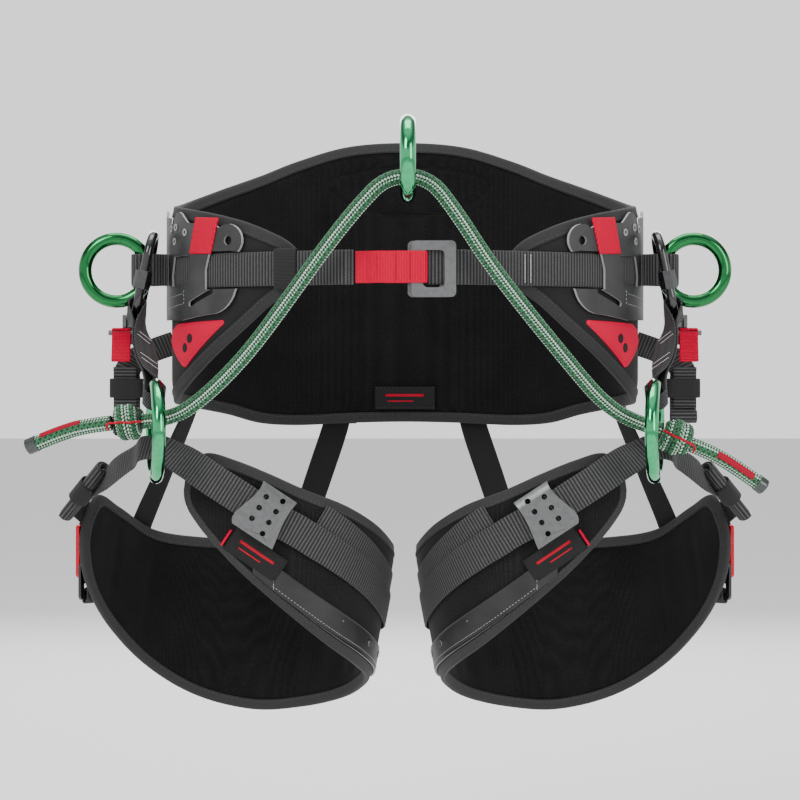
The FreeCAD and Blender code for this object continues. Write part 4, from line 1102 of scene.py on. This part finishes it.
# ---------------------------------------------------------------- the plates' flat outlines
FACING = math.radians(128)
PLATE_OUT = np.array([math.sin(FACING), math.cos(FACING), 0.0])
PLATE_AHEAD = np.array([PLATE_OUT[1], -PLATE_OUT[0], 0.0])
PLATE_START = float(np.array([206.0, 0, 0]) @ PLATE_AHEAD)
PATCH_OUTLINE = [(11, -60), (21, -50), (37, -45), (103, -43), (104, -46), (53, -83), (47, -82)]
LOOP_TAB_OUTLINE = [(76.5, 45), (103.5, 43.5), (95, 13), (67.5, 14)]


def on_plate(along, height, offset):
    """A point over a side plate, from its flat outline and the distance from the oval."""
    fine = np.linspace(70, 154, 400)
    offset = np.broadcast_to(np.asarray(offset, float), np.shape(along))
    place = belt_point(fine, np.full_like(fine, float(np.mean(offset))), 0) @ PLATE_AHEAD
    degrees = np.interp(np.asarray(along, float) + PLATE_START, place, fine)
    return belt_point(degrees, offset, height)


def patch_mesh(surface, outline, base, thick, soft=1.2):
    """A filled flat patch laid on a surface(a, b, offset), its border rounded down."""
    outline = np.array(outline, float)
    ring, _ = evened(flat(np.vstack([outline, outline[:1]])), 1.6)
    ring = ring[:-1, :2]
    middle = ring.mean(axis=0)
    reach = np.linalg.norm(ring - middle, axis=1).mean()
    shares = [1.0, 1 - 0.3 * soft / reach, 1 - soft / reach, 0.8, 0.6, 0.4, 0.2, 0.02]
    lifts = [0.35, 0.85, 1, 1, 1, 1, 1, 1]
    rows = []
    for share, lift in zip(shares, lifts):
        spots = middle + (ring - middle) * share
        rows.append((spots, base + thick * lift))
    under = [(spots, base) for spots, _ in reversed(rows)]
    points, lay = [], []
    for spots, level in rows + under:
        points.append(surface(spots[:, 0], spots[:, 1], np.full(len(spots), level)))
        lay.append(np.stack([spots[:, 1], spots[:, 0], np.full(len(spots), level)], axis=1))
    columns = len(ring)
    order = list(range(len(rows) - 1, -1, -1)) + list(range(2 * len(rows) - 1, len(rows) - 1, -1))
    points = np.vstack([points[i] for i in order])
    lay = np.vstack([lay[i] for i in order])
    faces = grid_faces(2 * len(rows), columns, False, True)
    return points, faces + turned(end_faces(2 * len(rows), columns)), lay


def line_stitches(build, surface, line, base, spacing=3.4, length=2.3, thick=0.5, index=0):
    """Stitches along a line of (a, b) on a surface(a, b, offset)."""
    even, _ = evened(flat(line), spacing)
    offset = np.full(len(even), float(base))
    places = surface(even[:, 0], even[:, 1], offset)
    out = surface(even[:, 0], even[:, 1], offset + 1) - places
    stitches(build, places, np.gradient(places, axis=0), out, length, thick, index)


def inset(outline, distance):
    outline = np.array(outline, float)
    middle = outline.mean(axis=0)
    away = outline - middle
    far = np.linalg.norm(away, axis=1, keepdims=True)
    moved = middle + away * (1 - distance / far)
    return np.vstack([moved, moved[:1]])


def make_plate_trim():
    patches, tabs, seams, marks = Build(), Build(), Build(), Build()
    patches.add(*patch_mesh(on_plate, PATCH_OUTLINE, 4.6, 1.2))
    tabs.add(*patch_mesh(on_plate, LOOP_TAB_OUTLINE, 9.8, 1.7))
    line_stitches(seams, on_plate, inset(PATCH_OUTLINE, 4.2), 5.8, 2.8, 1.9, 0.35)
    for spot in ((60, -58), (52, -66)):
        dot = [(spot[0] + 4.2 * math.cos(t), spot[1] + 4.2 * math.sin(t))
               for t in np.linspace(0, 2 * math.pi, 18, endpoint=False)]
        marks.add(*patch_mesh(on_plate, dot, 5.8, 0.25, 0.6))
    for start, end in (((20, -23.6), (53.6, -19.7)), ((23, -31.8), (53.6, -28.4)),
                       ((57, -17.8), (57, -27.5)), ((14, 30), (13, -34))):
        line_stitches(seams, on_plate, [start, end], 9.6, 3.0, 2.1, 0.45, 1)
    for side, sign in SIDES:
        first = patches.piece("red_patch_" + side, RED_PATCH, "belt", "red_fabric", sign)
        second = tabs.piece("red_loop_tab_" + side, RED_WEBBING, "belt", "red_fabric", sign)
        if sign > 0:
            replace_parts(first, "plate_patches")
            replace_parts(second, "loop_tabs")
        marks.piece("patch_mark_" + side, LABEL, "belt", None, sign)
        seams.piece("plate_stitches_" + side, [RED_THREAD, PALE_THREAD], "belt", None, sign,
                    smooth=False)


# ---------------------------------------------------------------- waist strap and buckle
STRAP_LEVEL = -1.0
WEB = 2.2
BUCKLE_FRONT, BUCKLE_THICK = -155.8, 3.5


def strap_points():
    degrees = np.linspace(98, 143, 12)
    lift = 5.8 + 2.6 * np.clip((degrees - 126) / 17, 0, None) ** 1.2
    curve = belt_point(degrees, lift, np.full_like(degrees, STRAP_LEVEL))
    angle = math.radians(143)
    ahead = unit([HALF_WIDE * math.cos(angle), -HALF_DEEP * math.sin(angle), 0])
    return curve, np.array([curve[-1] + ahead * 39, curve[-1] + ahead * 78]), ahead


def bartack(build, centre, along, across, out, long, wide):
    """A dense row of zigzag stitches."""
    count = max(3, int(long / 1.7))
    place = np.linspace(-0.5, 0.5, count) * long
    swing = np.where(np.arange(count) % 2 == 0, 0.35, -0.35) * wide
    spots = centre + np.outer(place, along) + np.outer(swing, across) + out * 0.1
    run = np.gradient(spots, axis=0)
    stitches(build, spots[:-1] * 0.5 + spots[1:] * 0.5, run[:-1], np.tile(out, (count - 1, 1)),
             1.9, 0.45)


def make_waist():
    curve, straight, ahead = strap_points()
    run = np.vstack([curve, straight])
    turn_y = run[-1][1]
    left = np.vstack([run, [[47, turn_y - 0.3, STRAP_LEVEL], [42.8, turn_y - 0.4, STRAP_LEVEL]]])
    behind = BUCKLE_FRONT + BUCKLE_THICK + 0.5 + WEB / 2
    right = np.vstack([run, [[45, (turn_y + behind) / 2 - 1.2, STRAP_LEVEL],
                             [38, behind, STRAP_LEVEL], [18.8, behind, STRAP_LEVEL]]])
    for side, sign, points in (("l", -1, left), ("r", 1, right)):
        webbing("waist_webbing_" + side, points, np.tile(UP, (len(points), 1)), 29.0, WEB, "belt",
                WEBBING, "webbing", sign, replaces=["waist_strap_" + side])
    out = np.array([ahead[1], -ahead[0], 0.0])
    if out[1] > 0:
        out = -out
    seams = Build()
    for spot in (22.0, 27.5):
        place = run[-3] + ahead * spot + out * (WEB / 2 + 0.1)
        bartack(seams, place, UP, ahead, out, 24, 2.2)
    seams.piece("waist_bartacks_r", WHITE_THREAD, "belt", None, 1, smooth=False)

    middle = BUCKLE_FRONT + BUCKLE_THICK / 2
    far = BUCKLE_THICK / 2 + 0.5 + WEB / 2
    bar = 14.5
    layers = [(-41, -148.6), (-33, -150.6), (-22, middle - 2.4), (-6, middle - far),
              (bar, middle - far)]
    layers += [(bar + 0.9 * far * math.cos(math.radians(a)),
                middle + far * math.sin(math.radians(a))) for a in (-60, -30, 0, 30, 60)]
    layers += [(bar, middle + far), (-4, middle + far), (-17, middle + 1.9)]
    layers = np.array([(x, y, STRAP_LEVEL) for x, y in layers])
    webbing("adjuster_webbing", layers, np.tile(UP, (len(layers), 1)), 26.6, WEB, "waist_frame",
            RED_WEBBING, "red_fabric", rib=0.12, pitch=1.5, replaces=["adjust_web"])
    seams = Build()
    near_tack, far_tack = middle - 2.4 - WEB / 2 - 0.15, middle - far - WEB / 2 - 0.05
    for x, y, long in ((-24.0, near_tack, 22), (-20.5, near_tack, 22),
                       (-8.0, far_tack, 23), (4.0, far_tack, 23)):
        bartack(seams, np.array([x, y, STRAP_LEVEL]), UP, ACROSS, -BACK, long, 1.4)
    seams.piece("adjuster_stitches", RED_THREAD, "waist_frame", None, 1, smooth=False)

    centre = straight[0] - ahead * 12
    make_band("waist_keeper_band", centre, ahead, UP, out, 21, 15.25 + 0.7, WEB / 2 + 0.7, 1.0,
              "keeper", -1, "waist_keeper")


def make_band(name, centre, along, up, out, long, half_high, half_deep, thick, body, sign, node_name):
    """An elastic band round something flat: a closed loop with rounded corners."""
    turns = np.linspace(0, 2 * math.pi, 40, endpoint=False)

    def ring(grow):
        cosine, sine, power = np.cos(turns), np.sin(turns), 5.0
        scale = (np.abs(cosine) ** power + np.abs(sine) ** power) ** (-1 / power)
        return np.stack([(half_high + grow) * cosine * scale, (half_deep + grow) * sine * scale],
                        axis=1)

    rows = []
    places = np.linspace(-0.5, 0.5, 15) * long
    for place in places:
        lip = 0.25 * math.exp(-(long / 2 - abs(place)) / 1.2)
        rows.append((place, ring(thick - lip)))
    for place in places[::-1]:
        rows.append((place, ring(0.0)))
    points = np.array([[centre + along * place + up * a + out * b for a, b in outline]
                       for place, outline in rows])
    lay = np.array([[(place, 2.0 * index, 0) for index in range(len(outline))]
                    for place, outline in rows])
    made = points.reshape(-1, 3), grid_faces(len(rows), 40, True, True), lay.reshape(-1, 3)
    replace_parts(lone(name, made, ELASTIC, body, "elastic", sign), node_name)


# ---------------------------------------------------------------- slings and side straps
def make_slings():
    eye = np.array([223.8, -30.0, 0.0])
    inner = 5.75 + 3.0 + WEB / 2
    neck = 2.0 + WEB / 2
    points = [(206.3, eye[1] - neck, 2), (210.3, eye[1] - neck - 0.5, 2)]
    for degrees in np.linspace(-125, 125, 15):
        angle = math.radians(degrees)
        reach = 1.35 if abs(degrees) < 90 else 1.0
        bulge = max(-1.0, min(1.0, 1.25 * math.sin(angle)))
        points.append((eye[0] + inner * reach * math.cos(angle), eye[1] + inner * bulge, 2))
    points += [(210.3, eye[1] + neck + 0.5, 2), (206.3, eye[1] + neck, 2)]
    tilt = math.radians(12)
    for side, sign in SIDES:
        webbing("ring_sling_webbing_" + side, points, np.tile(UP, (len(points), 1)), 27.6, WEB,
                "belt", WEBBING, "webbing", sign, replaces=["ring_sling_" + side])
    centre = np.array([226.0, -30.0, -3.5])
    upward = np.array([-math.sin(tilt), 0, math.cos(tilt)])
    bend_centre = centre - upward * 17.5
    pull = unit([0, bend_centre[1] + 110, bend_centre[2] + 137])
    top = bend_centre - (BACK * pull[1] + upward * pull[2]) * (19 - 2.3)
    turn = math.radians(9)
    level = np.array([math.sin(turn), math.cos(turn), 0])
    low = np.array([210.0, -110.0, -137.0]) + (level * pull[1] + UP * pull[2]) * (38.75 - 1.1)
    link_tangent = BACK * pull[2] - upward * pull[1]
    ring_tangent = level * pull[2] - UP * pull[1]
    wide = np.array([link_tangent, (-0.75, 0.5, -0.35), ring_tangent])
    line, across = web_loop_line(top, low, 4.0 + 2.3 + 0.5, 5.75 + 1.1 + 1.0, wide, 1.8, 0.5)
    run = unit(low - top)
    seams = Build()
    for share in (0.34, 0.62):
        side_way = unit(blend_row(wide, 2 * share))
        side_way = unit(side_way - run * (side_way @ run))
        face = unit(np.cross(run, side_way))
        for flip in (-1, 1):
            place = top + (low - top) * share + face * flip * (0.5 + 1.8 + 0.15)
            for shift in (-4.5, 4.5):
                slanted = unit(side_way + run * 0.35)
                bartack(seams, place + run * shift * 0.6, slanted, run, face * flip, 19, 1.2)
    for side, sign in SIDES:
        webbing("side_strap_webbing_" + side, line, across, 22.6, 1.8, "belt", FINE_WEBBING,
                "webbing", sign, rib=0.15, pitch=1.9, replaces=["side_strap_" + side])
        seams.piece("side_strap_stitches_" + side, WHITE_THREAD, "belt", None, sign, smooth=False)


# ---------------------------------------------------------------- leg loops
LEG_STATIONS = np.array([
    (184, -86, -166, 188, -84, -197), (167, -96, -157, 170, -95, -222),
    (143, -104, -163, 144, -104, -250), (115, -109, -174, 116, -109, -275),
    (84, -107, -188, 90, -107, -297), (52, -94, -201, 64, -93, -319),
    (28, -66, -217, 44, -66, -336), (14, -26, -234, 34, -28, -350),
    (14, 18, -242, 37, 14, -362), (37, 58, -243, 56, 50, -377),
    (84, 86, -241, 94, 76, -388), (138, 97, -239, 139, 84, -391),
    (190, 94, -237, 190, 82, -378), (229, 76, -229, 233, 66, -350),
    (256, 44, -208, 264, 38, -312), (272, 16, -196, 280, 12, -275),
    (281, -3, -214, 286, -4, -240),
], float)
LEG_LAST = len(LEG_STATIONS) - 1
LEG_ROWS = catmull(LEG_STATIONS, 16)
LEG_HALF = 4.5


def leg_row(place):
    place = np.asarray(place, float) * 16
    spots = np.arange(len(LEG_ROWS))
    return np.stack([np.interp(place, spots, column) for column in LEG_ROWS.T], axis=-1)


def leg_point(place, drop, offset):
    """A point near the right leg pad: place along it, drop from its top, offset out of it."""
    place = np.asarray(place, float)
    drop = np.broadcast_to(np.asarray(drop, float), place.shape)[..., None]
    row = leg_row(place)
    down = row[..., 3:] - row[..., :3]
    ahead, before = leg_row(np.minimum(place + 0.2, LEG_LAST)), leg_row(np.maximum(place - 0.2, 0))
    run = (ahead[..., :3] + ahead[..., 3:] - before[..., :3] - before[..., 3:]) / 2
    out = unit(np.cross(run, down))
    offset = np.broadcast_to(np.asarray(offset, float), place.shape)[..., None]
    return row[..., :3] * (1 - drop) + row[..., 3:] * drop + out * offset


LEG_STRAP_FRONT = [
    ((267, -24, -185.5), (-0.6, -0.25, 0.75)), ((263, -34, -182.5), (-0.5, -0.1, 0.8)),
    ((256, -48, -176.5), (-0.2, 0.3, 0.87)), ((246, -61, -169), (0.0, 0.6, 0.8)),
    ((232, -74, -160), (0.0, 0.7, 0.7)), ((224, -88.5, -152.5), (0.0, 0.7, 0.7)),
    ((208, -94.5, -151.5), (0.0, 0.7, 0.7)), ((196, -99, -157), (-0.1, 0.6, 0.79)),
    ((180, -108, -166), (-0.3, 0.3, 0.9)), ((160, -117, -179), (-0.45, 0.1, 0.88)),
    ((138, -119.5, -193), (-0.55, 0.0, 0.84)), ((117, -120, -206.5), (-0.55, 0.0, 0.84)),
]


def make_legs():
    place = np.linspace(0, LEG_LAST, 900)
    tops, bottoms = leg_point(place, 0.0, 0.0), leg_point(place, 1.0, 0.0)
    normals = leg_point(place, 0.5, 1.0) - leg_point(place, 0.5, 0.0)
    panel = Panel(tops, bottoms, normals, 9.0)
    shape = PadShape(-4.1, 4.1, -1.3, 1.3, 12.0)
    lift = LEG_HALF + 0.5 + 0.4 + WEB / 2
    centres = [point for point, _ in LEG_STRAP_FRONT]
    wide = [side for _, side in LEG_STRAP_FRONT]
    for part in np.linspace(0, 1, 24):
        at = 3.75 + 10.5 * part
        drop = float(np.interp(at, [3.75, 5.6, 7.4, 9.2, 11.0, 12.6, 14.3],
                               [0.33, 0.403, 0.48, 0.476, 0.43, 0.47, 0.60]))
        centres.append(tuple(leg_point(at, drop, lift + 2.2 * max(0, 1 - part * 6))))
        wide.append(tuple(unit(leg_point(at, drop - 0.1, lift) - leg_point(at, drop + 0.1, lift))))
    centres, wide = np.array(centres), np.array(wide)
    for side, sign in SIDES:
        pad, distance, half = pad_mesh(panel, shape, 4.2, "leg_cushion_" + side, [LINING, OUTER],
                                       "leg_" + side, sign)
        inner = np.arange(len(distance)) < half
        caps = np.where(inner, np.clip(distance - 9, 0, 10) / 10 * 2.2, 0)
        inflate(pad, ~inner | (distance < 9), caps)
        subdivided(pad)
        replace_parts(pad, "leg_pad_" + side)
        binding(panel, shape, "leg_" + side, "leg_" + side, sign, "shell_fabric")
        webbing("leg_webbing_" + side, centres, wide, 27.6, WEB, "leg_" + side, WEBBING, "webbing",
                sign, replaces=["leg_strap_" + side])
        make_second_layer(side, sign)
        make_leg_strip(side, sign)
        make_leg_tail(side, sign)
        make_leg_label(side, sign)
        make_buckle_webbing(side, sign)


def make_buckle_webbing(side, sign):
    """Webbing round the buckle's two outer bars: to the rolled tail, and to the strap."""
    out = unit(np.array([0.81, 0.58, 0.0]))
    wide = np.cross(UP, out)
    middle = np.array([280.6, 34.0, 0.0])

    def path(rows):
        return [middle + out * away + UP * level for away, level in rows]

    upper = [(290, -12, -201), (288, 6, -205)]
    upper += path([(-1.4, -217), (-1.5, -224), (-1.3, -229), (2.0, -232.0), (5.3, -229),
                   (5.3, -223), (2.8, -218.6), (0.4, -216.5)])
    sides = [unit(wide + UP * 0.5), unit(wide + UP * 0.25)] + [wide] * 8
    strap = webbing("leg_buckle_webbing_upper_" + side, upper, sides, 19.5, 1.8, "leg_" + side,
                    FINE_WEBBING, "webbing", sign, rib=0.2, pitch=1.5)
    strap.parent = None
    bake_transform(strap)
    lower = path([(-5.4, -262), (-5.5, -280), (-5.2, -287), (-2.1, -291.4), (0.8, -288.5),
                  (1.0, -284), (-1.2, -279.6), (-4.2, -278)])
    webbing("leg_buckle_webbing_lower_" + side, lower, [wide] * 8, 21.5, 1.8, "leg_" + side,
            FINE_WEBBING, "webbing", sign, rib=0.2, pitch=1.5)


def make_second_layer(side, sign):
    """The wider webbing under the main strap that shows above it on the inner thigh."""
    points, sides = [], []
    for part in np.linspace(0, 1, 20):
        at = 4.35 + 4.6 * part
        drop = 0.16 + 0.12 * math.sin(part * math.pi * 0.7) + 0.05 * part
        points.append(leg_point(at, drop, LEG_HALF + 0.75))
        sides.append(unit(leg_point(at, drop - 0.1, 5.0) - leg_point(at, drop + 0.1, 5.0)))
    webbing("leg_under_webbing_" + side, points, sides, 26, 1.0, "leg_" + side, WEBBING, None, sign,
            rib=0.2)


def strip_drop(place):
    part = (np.asarray(place, float) - 3.0) / 5.0
    return 0.70 + 0.08 * part, 0.92 + 0.02 * part


def make_leg_strip(side, sign):
    """The smooth laminate strip under the strap, with its pale edge and pale stitches."""
    columns, rows = 12, 90
    place = np.linspace(2.6, 8.0, rows)[:, None] * np.ones(columns)
    top, bottom = strip_drop(place)
    share = np.linspace(0, 1, columns)[None, :] * np.ones((rows, 1))
    drop = top * (1 - share) + bottom * share
    outer = leg_point(place, drop, LEG_HALF + 1.7)
    inner = leg_point(place, drop, LEG_HALF + 0.3)
    points = np.vstack([outer.reshape(-1, 3), inner.reshape(-1, 3)])
    faces = grid_faces(rows, columns, flip=True)
    faces += grid_faces(rows, columns, first=rows * columns)
    edge = rim_faces(rows, columns)
    build = Build()
    build.add(points, faces + edge)
    build.indices = [0] * len(faces) + [1] * len(edge)
    piece = build.piece("leg_strip_sheet_" + side, [STRIP, CUT_EDGE], "leg_" + side, "laminate",
                        sign)
    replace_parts(piece, "leg_strip_" + side)
    seams = Build()
    line = [(p, strip_drop(p)[1] - 0.035) for p in np.linspace(3.2, 7.8, 120)]
    curve_stitches(seams, line, LEG_HALF + 1.75)
    curve_stitches(seams, [(3.2, 0.9), (3.2, 0.76), (5.2, 0.79)], LEG_HALF + 1.75)
    seams.piece("leg_strip_stitches_" + side, PALE_THREAD, "leg_" + side, None, sign, smooth=False)


def curve_stitches(build, line, offset):
    """Stitches along a line of (place, drop) on the leg pad."""
    line = np.array(line, float)
    places = leg_point(line[:, 0], line[:, 1], np.full(len(line), offset))
    out = leg_point(line[:, 0], line[:, 1], np.full(len(line), offset + 1)) - places
    even, _ = evened(np.hstack([places, out]), 3.2)
    stitches(build, even[:, :3], np.gradient(even[:, :3], axis=0), even[:, 3:], 2.0, 0.45)


def make_leg_tail(side, sign):
    """The spare ends of the strap, rolled up and held by an elastic band."""
    start, end = np.array([261.0, -33, -168]), np.array([298.0, -18, -213])
    along = unit(end - start)
    wide = unit(BACK - along * (BACK @ along))
    face = np.cross(along, wide)
    for number, spot, half_wide, half_deep, turns in ((1, 15.0, 13.8, 7.6, 2.3),
                                                      (2, 45.0, 12.0, 6.4, 1.9)):
        angle = np.linspace(2.6, 2.6 + turns * 2 * math.pi, int(26 * turns))
        shrink = 2.35 * (angle - angle[0]) / (2 * math.pi)
        centre = start + along * spot
        points = [centre + wide * ((half_wide - k) * math.cos(t))
                  + face * ((half_deep - k) * math.sin(t)) for t, k in zip(angle, shrink)]
        names = ["leg_tail_" + side] if number == 1 else []
        webbing("leg_tail_roll_%d_%s" % (number, side), points,
                np.tile(along, (len(points), 1)), 27.6, WEB - 0.2, "leg_" + side, WEBBING, "webbing",
                sign, replaces=names)
    middle = start + along * 30
    turns = np.linspace(0, 2 * math.pi, 36, endpoint=False)
    places = np.linspace(-9, 9, 12)
    rows = [(p, 15.8, 9.1) for p in places] + [(p, 14.8, 8.1) for p in places[::-1]]
    band = np.array([[middle + along * p + wide * (a * math.cos(t)) + face * (b * math.sin(t))
                      for t in turns] for p, a, b in rows])
    lay = np.array([[(p, 2.6 * i, 0) for i in range(36)] for p, _, _ in rows])
    made = band.reshape(-1, 3), grid_faces(len(rows), 36, True, True), lay.reshape(-1, 3)
    lone("leg_tail_band_" + side, made, ELASTIC, "leg_" + side, "elastic", sign)


def make_leg_label(side, sign):
    """A black label under the leg plate, with plain bars and a red edge."""
    centre = np.array([126.0, 0, -241.0])
    along = unit(np.array([-0.83, 0, -0.55]))
    across = unit(np.array([-0.55, 0, 0.83]))
    fine = np.linspace(0.3, 5.0, 60)
    pad_x = leg_point(fine, 0.8, 0.0)[:, 0][::-1]
    pad_y = leg_point(fine, 0.8, 0.0)[:, 1][::-1]

    def place(a, b, offset):
        a, b = np.asarray(a, float), np.asarray(b, float)
        spot = centre + a[..., None] * along + b[..., None] * across
        surface = np.interp(spot[..., 0], pad_x, pad_y) - LEG_HALF - 1.5
        spot[..., 1] = surface - np.asarray(offset, float) - 0.8 * np.cos(b / 6.0)
        return spot

    def bar(a, b, wide, tall, start):
        return slab(lambda p, q, lift: place(a + p, b + q, start + lift), wide, tall, 0.3, 10, 6)

    cloth = slab(place, 52, 22, 0.8, 24, 10)
    lone("leg_label_cloth_" + side, cloth, LABEL, "leg_" + side, "label", sign)
    build = Build()
    for a, b, wide, tall in ((0, 2.5, 34, 2.4), (-4, -3, 22, 1.2)):
        build.add(*bar(a, b, wide, tall, 0.8))
    build.piece("leg_label_bars_" + side, RED_THREAD, "leg_" + side, "label", sign)
    edge = slab(lambda p, q, lift: place(-28.5 + p, -2 + q, lift), 2.2, 16, 1.2, 6, 10)
    lone("leg_label_edge_" + side, edge, RED_WEBBING, "leg_" + side, "red_fabric", sign)


# ---------------------------------------------------------------- rear straps
REAR_STRAPS = [(18, 10.3, 24), (69, 13.2, 22)]


def make_rear_straps():
    lift = LEG_HALF + 0.5 + WEB / 2
    outside = 4.4 + 0.5 + WEB / 2
    for side, sign in SIDES:
        for index, (degrees, station, width) in enumerate(REAR_STRAPS):
            _, bottom = belt_edge(degrees)
            upper = [belt_point(degrees, outside, bottom + more) for more in (16, 0)]
            lower = [leg_point(station, 0.0, lift), leg_point(station, 0.12, lift)]
            points = [upper[0], upper[1], (upper[1] + lower[0]) / 2, lower[0], lower[1]]
            tangent = unit(belt_point(degrees + 2, outside, 0)
                           - belt_point(degrees - 2, outside, 0))
            rim = unit(leg_point(station - 0.2, 0.0, lift) - leg_point(station + 0.2, 0.0, lift))
            rim = rim if rim @ tangent > 0 else -rim
            wide = [tangent, tangent, unit(tangent + rim), rim, rim]
            names = ["rear_straps_" + side] if index == 0 else []
            strap = webbing("rear_elastic_%d_%s" % (index + 1, side), points, wide, width, 1.6,
                            "belt", REAR_ELASTIC, "elastic", sign, rib=0.0, replaces=names)
            strap.parent = None
            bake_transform(strap)


# ---------------------------------------------------------------- hip adjusters
def make_hips():
    pin, low = np.array([250.5, 10, -51.5]), np.array([250.5, 4, -75.0])
    line, across = web_loop_line(pin, low, 2.9, 1.0, np.tile(ACROSS, (3, 1)), 1.4, 0.3, 7)
    for side, sign in SIDES:
        webbing("hip_tab_webbing_" + side, line, across, 16.8, 1.4, "hip_tab_" + side, RED_WEBBING,
                "red_fabric", sign, rib=0.1, pitch=1.5, replaces=["hip_tab_" + side])
        points = [(205, 34, -60), (222, 30, -66), (238, 24, -74), (246, 18, -85),
                  (246, 16.5, -97), (246, 14, -117)]
        sides = [(0.2, 0.4, 0.9), (0.4, 0.4, 0.8), (0.85, 0.2, 0.4), ACROSS, ACROSS, ACROSS]
        turn = np.radians(np.linspace(75, 620, 34))
        radius = 6.0 - 0.0045 * np.degrees(turn - turn[0])
        spiral = [(246, 8.5 + r * math.sin(t), -125 + r * math.cos(t))
                  for t, r in zip(turn, radius)]
        webbing("hip_tail_webbing_" + side, points + spiral, sides + [ACROSS] * len(spiral), 23.6,
                WEB - 0.2, "belt", WEBBING, "webbing", sign, replaces=["hip_tail_" + side])
        fold = [(247.5, 11.5, -118), (247.5, 11.3, -96), (247.5, 10.6, -88), (247.5, 9.2, -82)]
        webbing("hip_fold_webbing_" + side, fold, [ACROSS] * 4, 20.6, WEB - 0.2, "belt", WEBBING,
                "webbing", sign)
        make_band("hip_keeper_band_" + side, np.array([246.4, 14.0, -100.5]), -UP, ACROSS, BACK, 17,
                  13.9, 5.5, 0.9, "hip_keeper_" + side, sign, "hip_keeper_" + side)


make_metal()
make_plate_trim()
make_waist()
make_slings()
make_legs()
make_rear_straps()
make_hips()


# ---------------------------------------------------------------- stage, light, finish
floor_mesh = bpy.data.meshes.new("floor")
FLOOR = cad_low.z - 0.16
HALF_FLOOR = 30.0
floor_mesh.from_pydata([(-HALF_FLOOR, -HALF_FLOOR, FLOOR), (HALF_FLOOR, -HALF_FLOOR, FLOOR),
                        (HALF_FLOOR, HALF_FLOOR, FLOOR), (-HALF_FLOOR, HALF_FLOOR, FLOOR)],
                       [], [(0, 1, 2, 3)])
floor = bpy.data.objects.new("floor", floor_mesh)
bpy.context.scene.collection.objects.link(floor)
floor_mesh.materials.append(material("floor", (0.92, 0.92, 0.92), 0.9, specular=0.1)[0])


def area_light(name, place, aim, size, power):
    data = bpy.data.lights.new(name, "AREA")
    data.shape = "RECTANGLE"
    data.size, data.size_y = size
    data.energy = power
    light = bpy.data.objects.new(name, data)
    bpy.context.scene.collection.objects.link(light)
    light.location = place
    light.rotation_euler = (Vector(aim) - Vector(place)).to_track_quat("-Z", "Y").to_euler()


area_light("key", (-1.6, -2.4, 1.9), (0, 0, -0.1), (1.4, 1.4), 60)
area_light("fill", (2.0, -2.2, 0.8), (0, 0, -0.1), (1.2, 1.8), 34)
area_light("top", (0, 0.2, 2.4), (0, 0, 0), (2.0, 1.4), 40)
area_light("back", (0, 2.6, 1.2), (0, 0, -0.1), (2.4, 1.6), 45)
world = bpy.data.worlds.new("studio")
world.use_nodes = True
sky = world.node_tree
direction = node(sky, "ShaderNodeTexCoord").outputs["Generated"]
height = node(sky, "ShaderNodeSeparateXYZ", {0: direction}).outputs["Z"]
above = maths(sky, "MULTIPLY", maths(sky, "ABSOLUTE", maths(sky, "SUBTRACT", height, 0.55)), 3.3)
tone = ramp(sky, above, (0.22, 0.22, 0.22), (1.0, 1.0, 1.0), 0.3, 1.0)
background = sky.nodes["Background"]
sky.links.new(tone, background.inputs["Color"])
background.inputs["Strength"].default_value = 1.35
bpy.context.scene.world = world
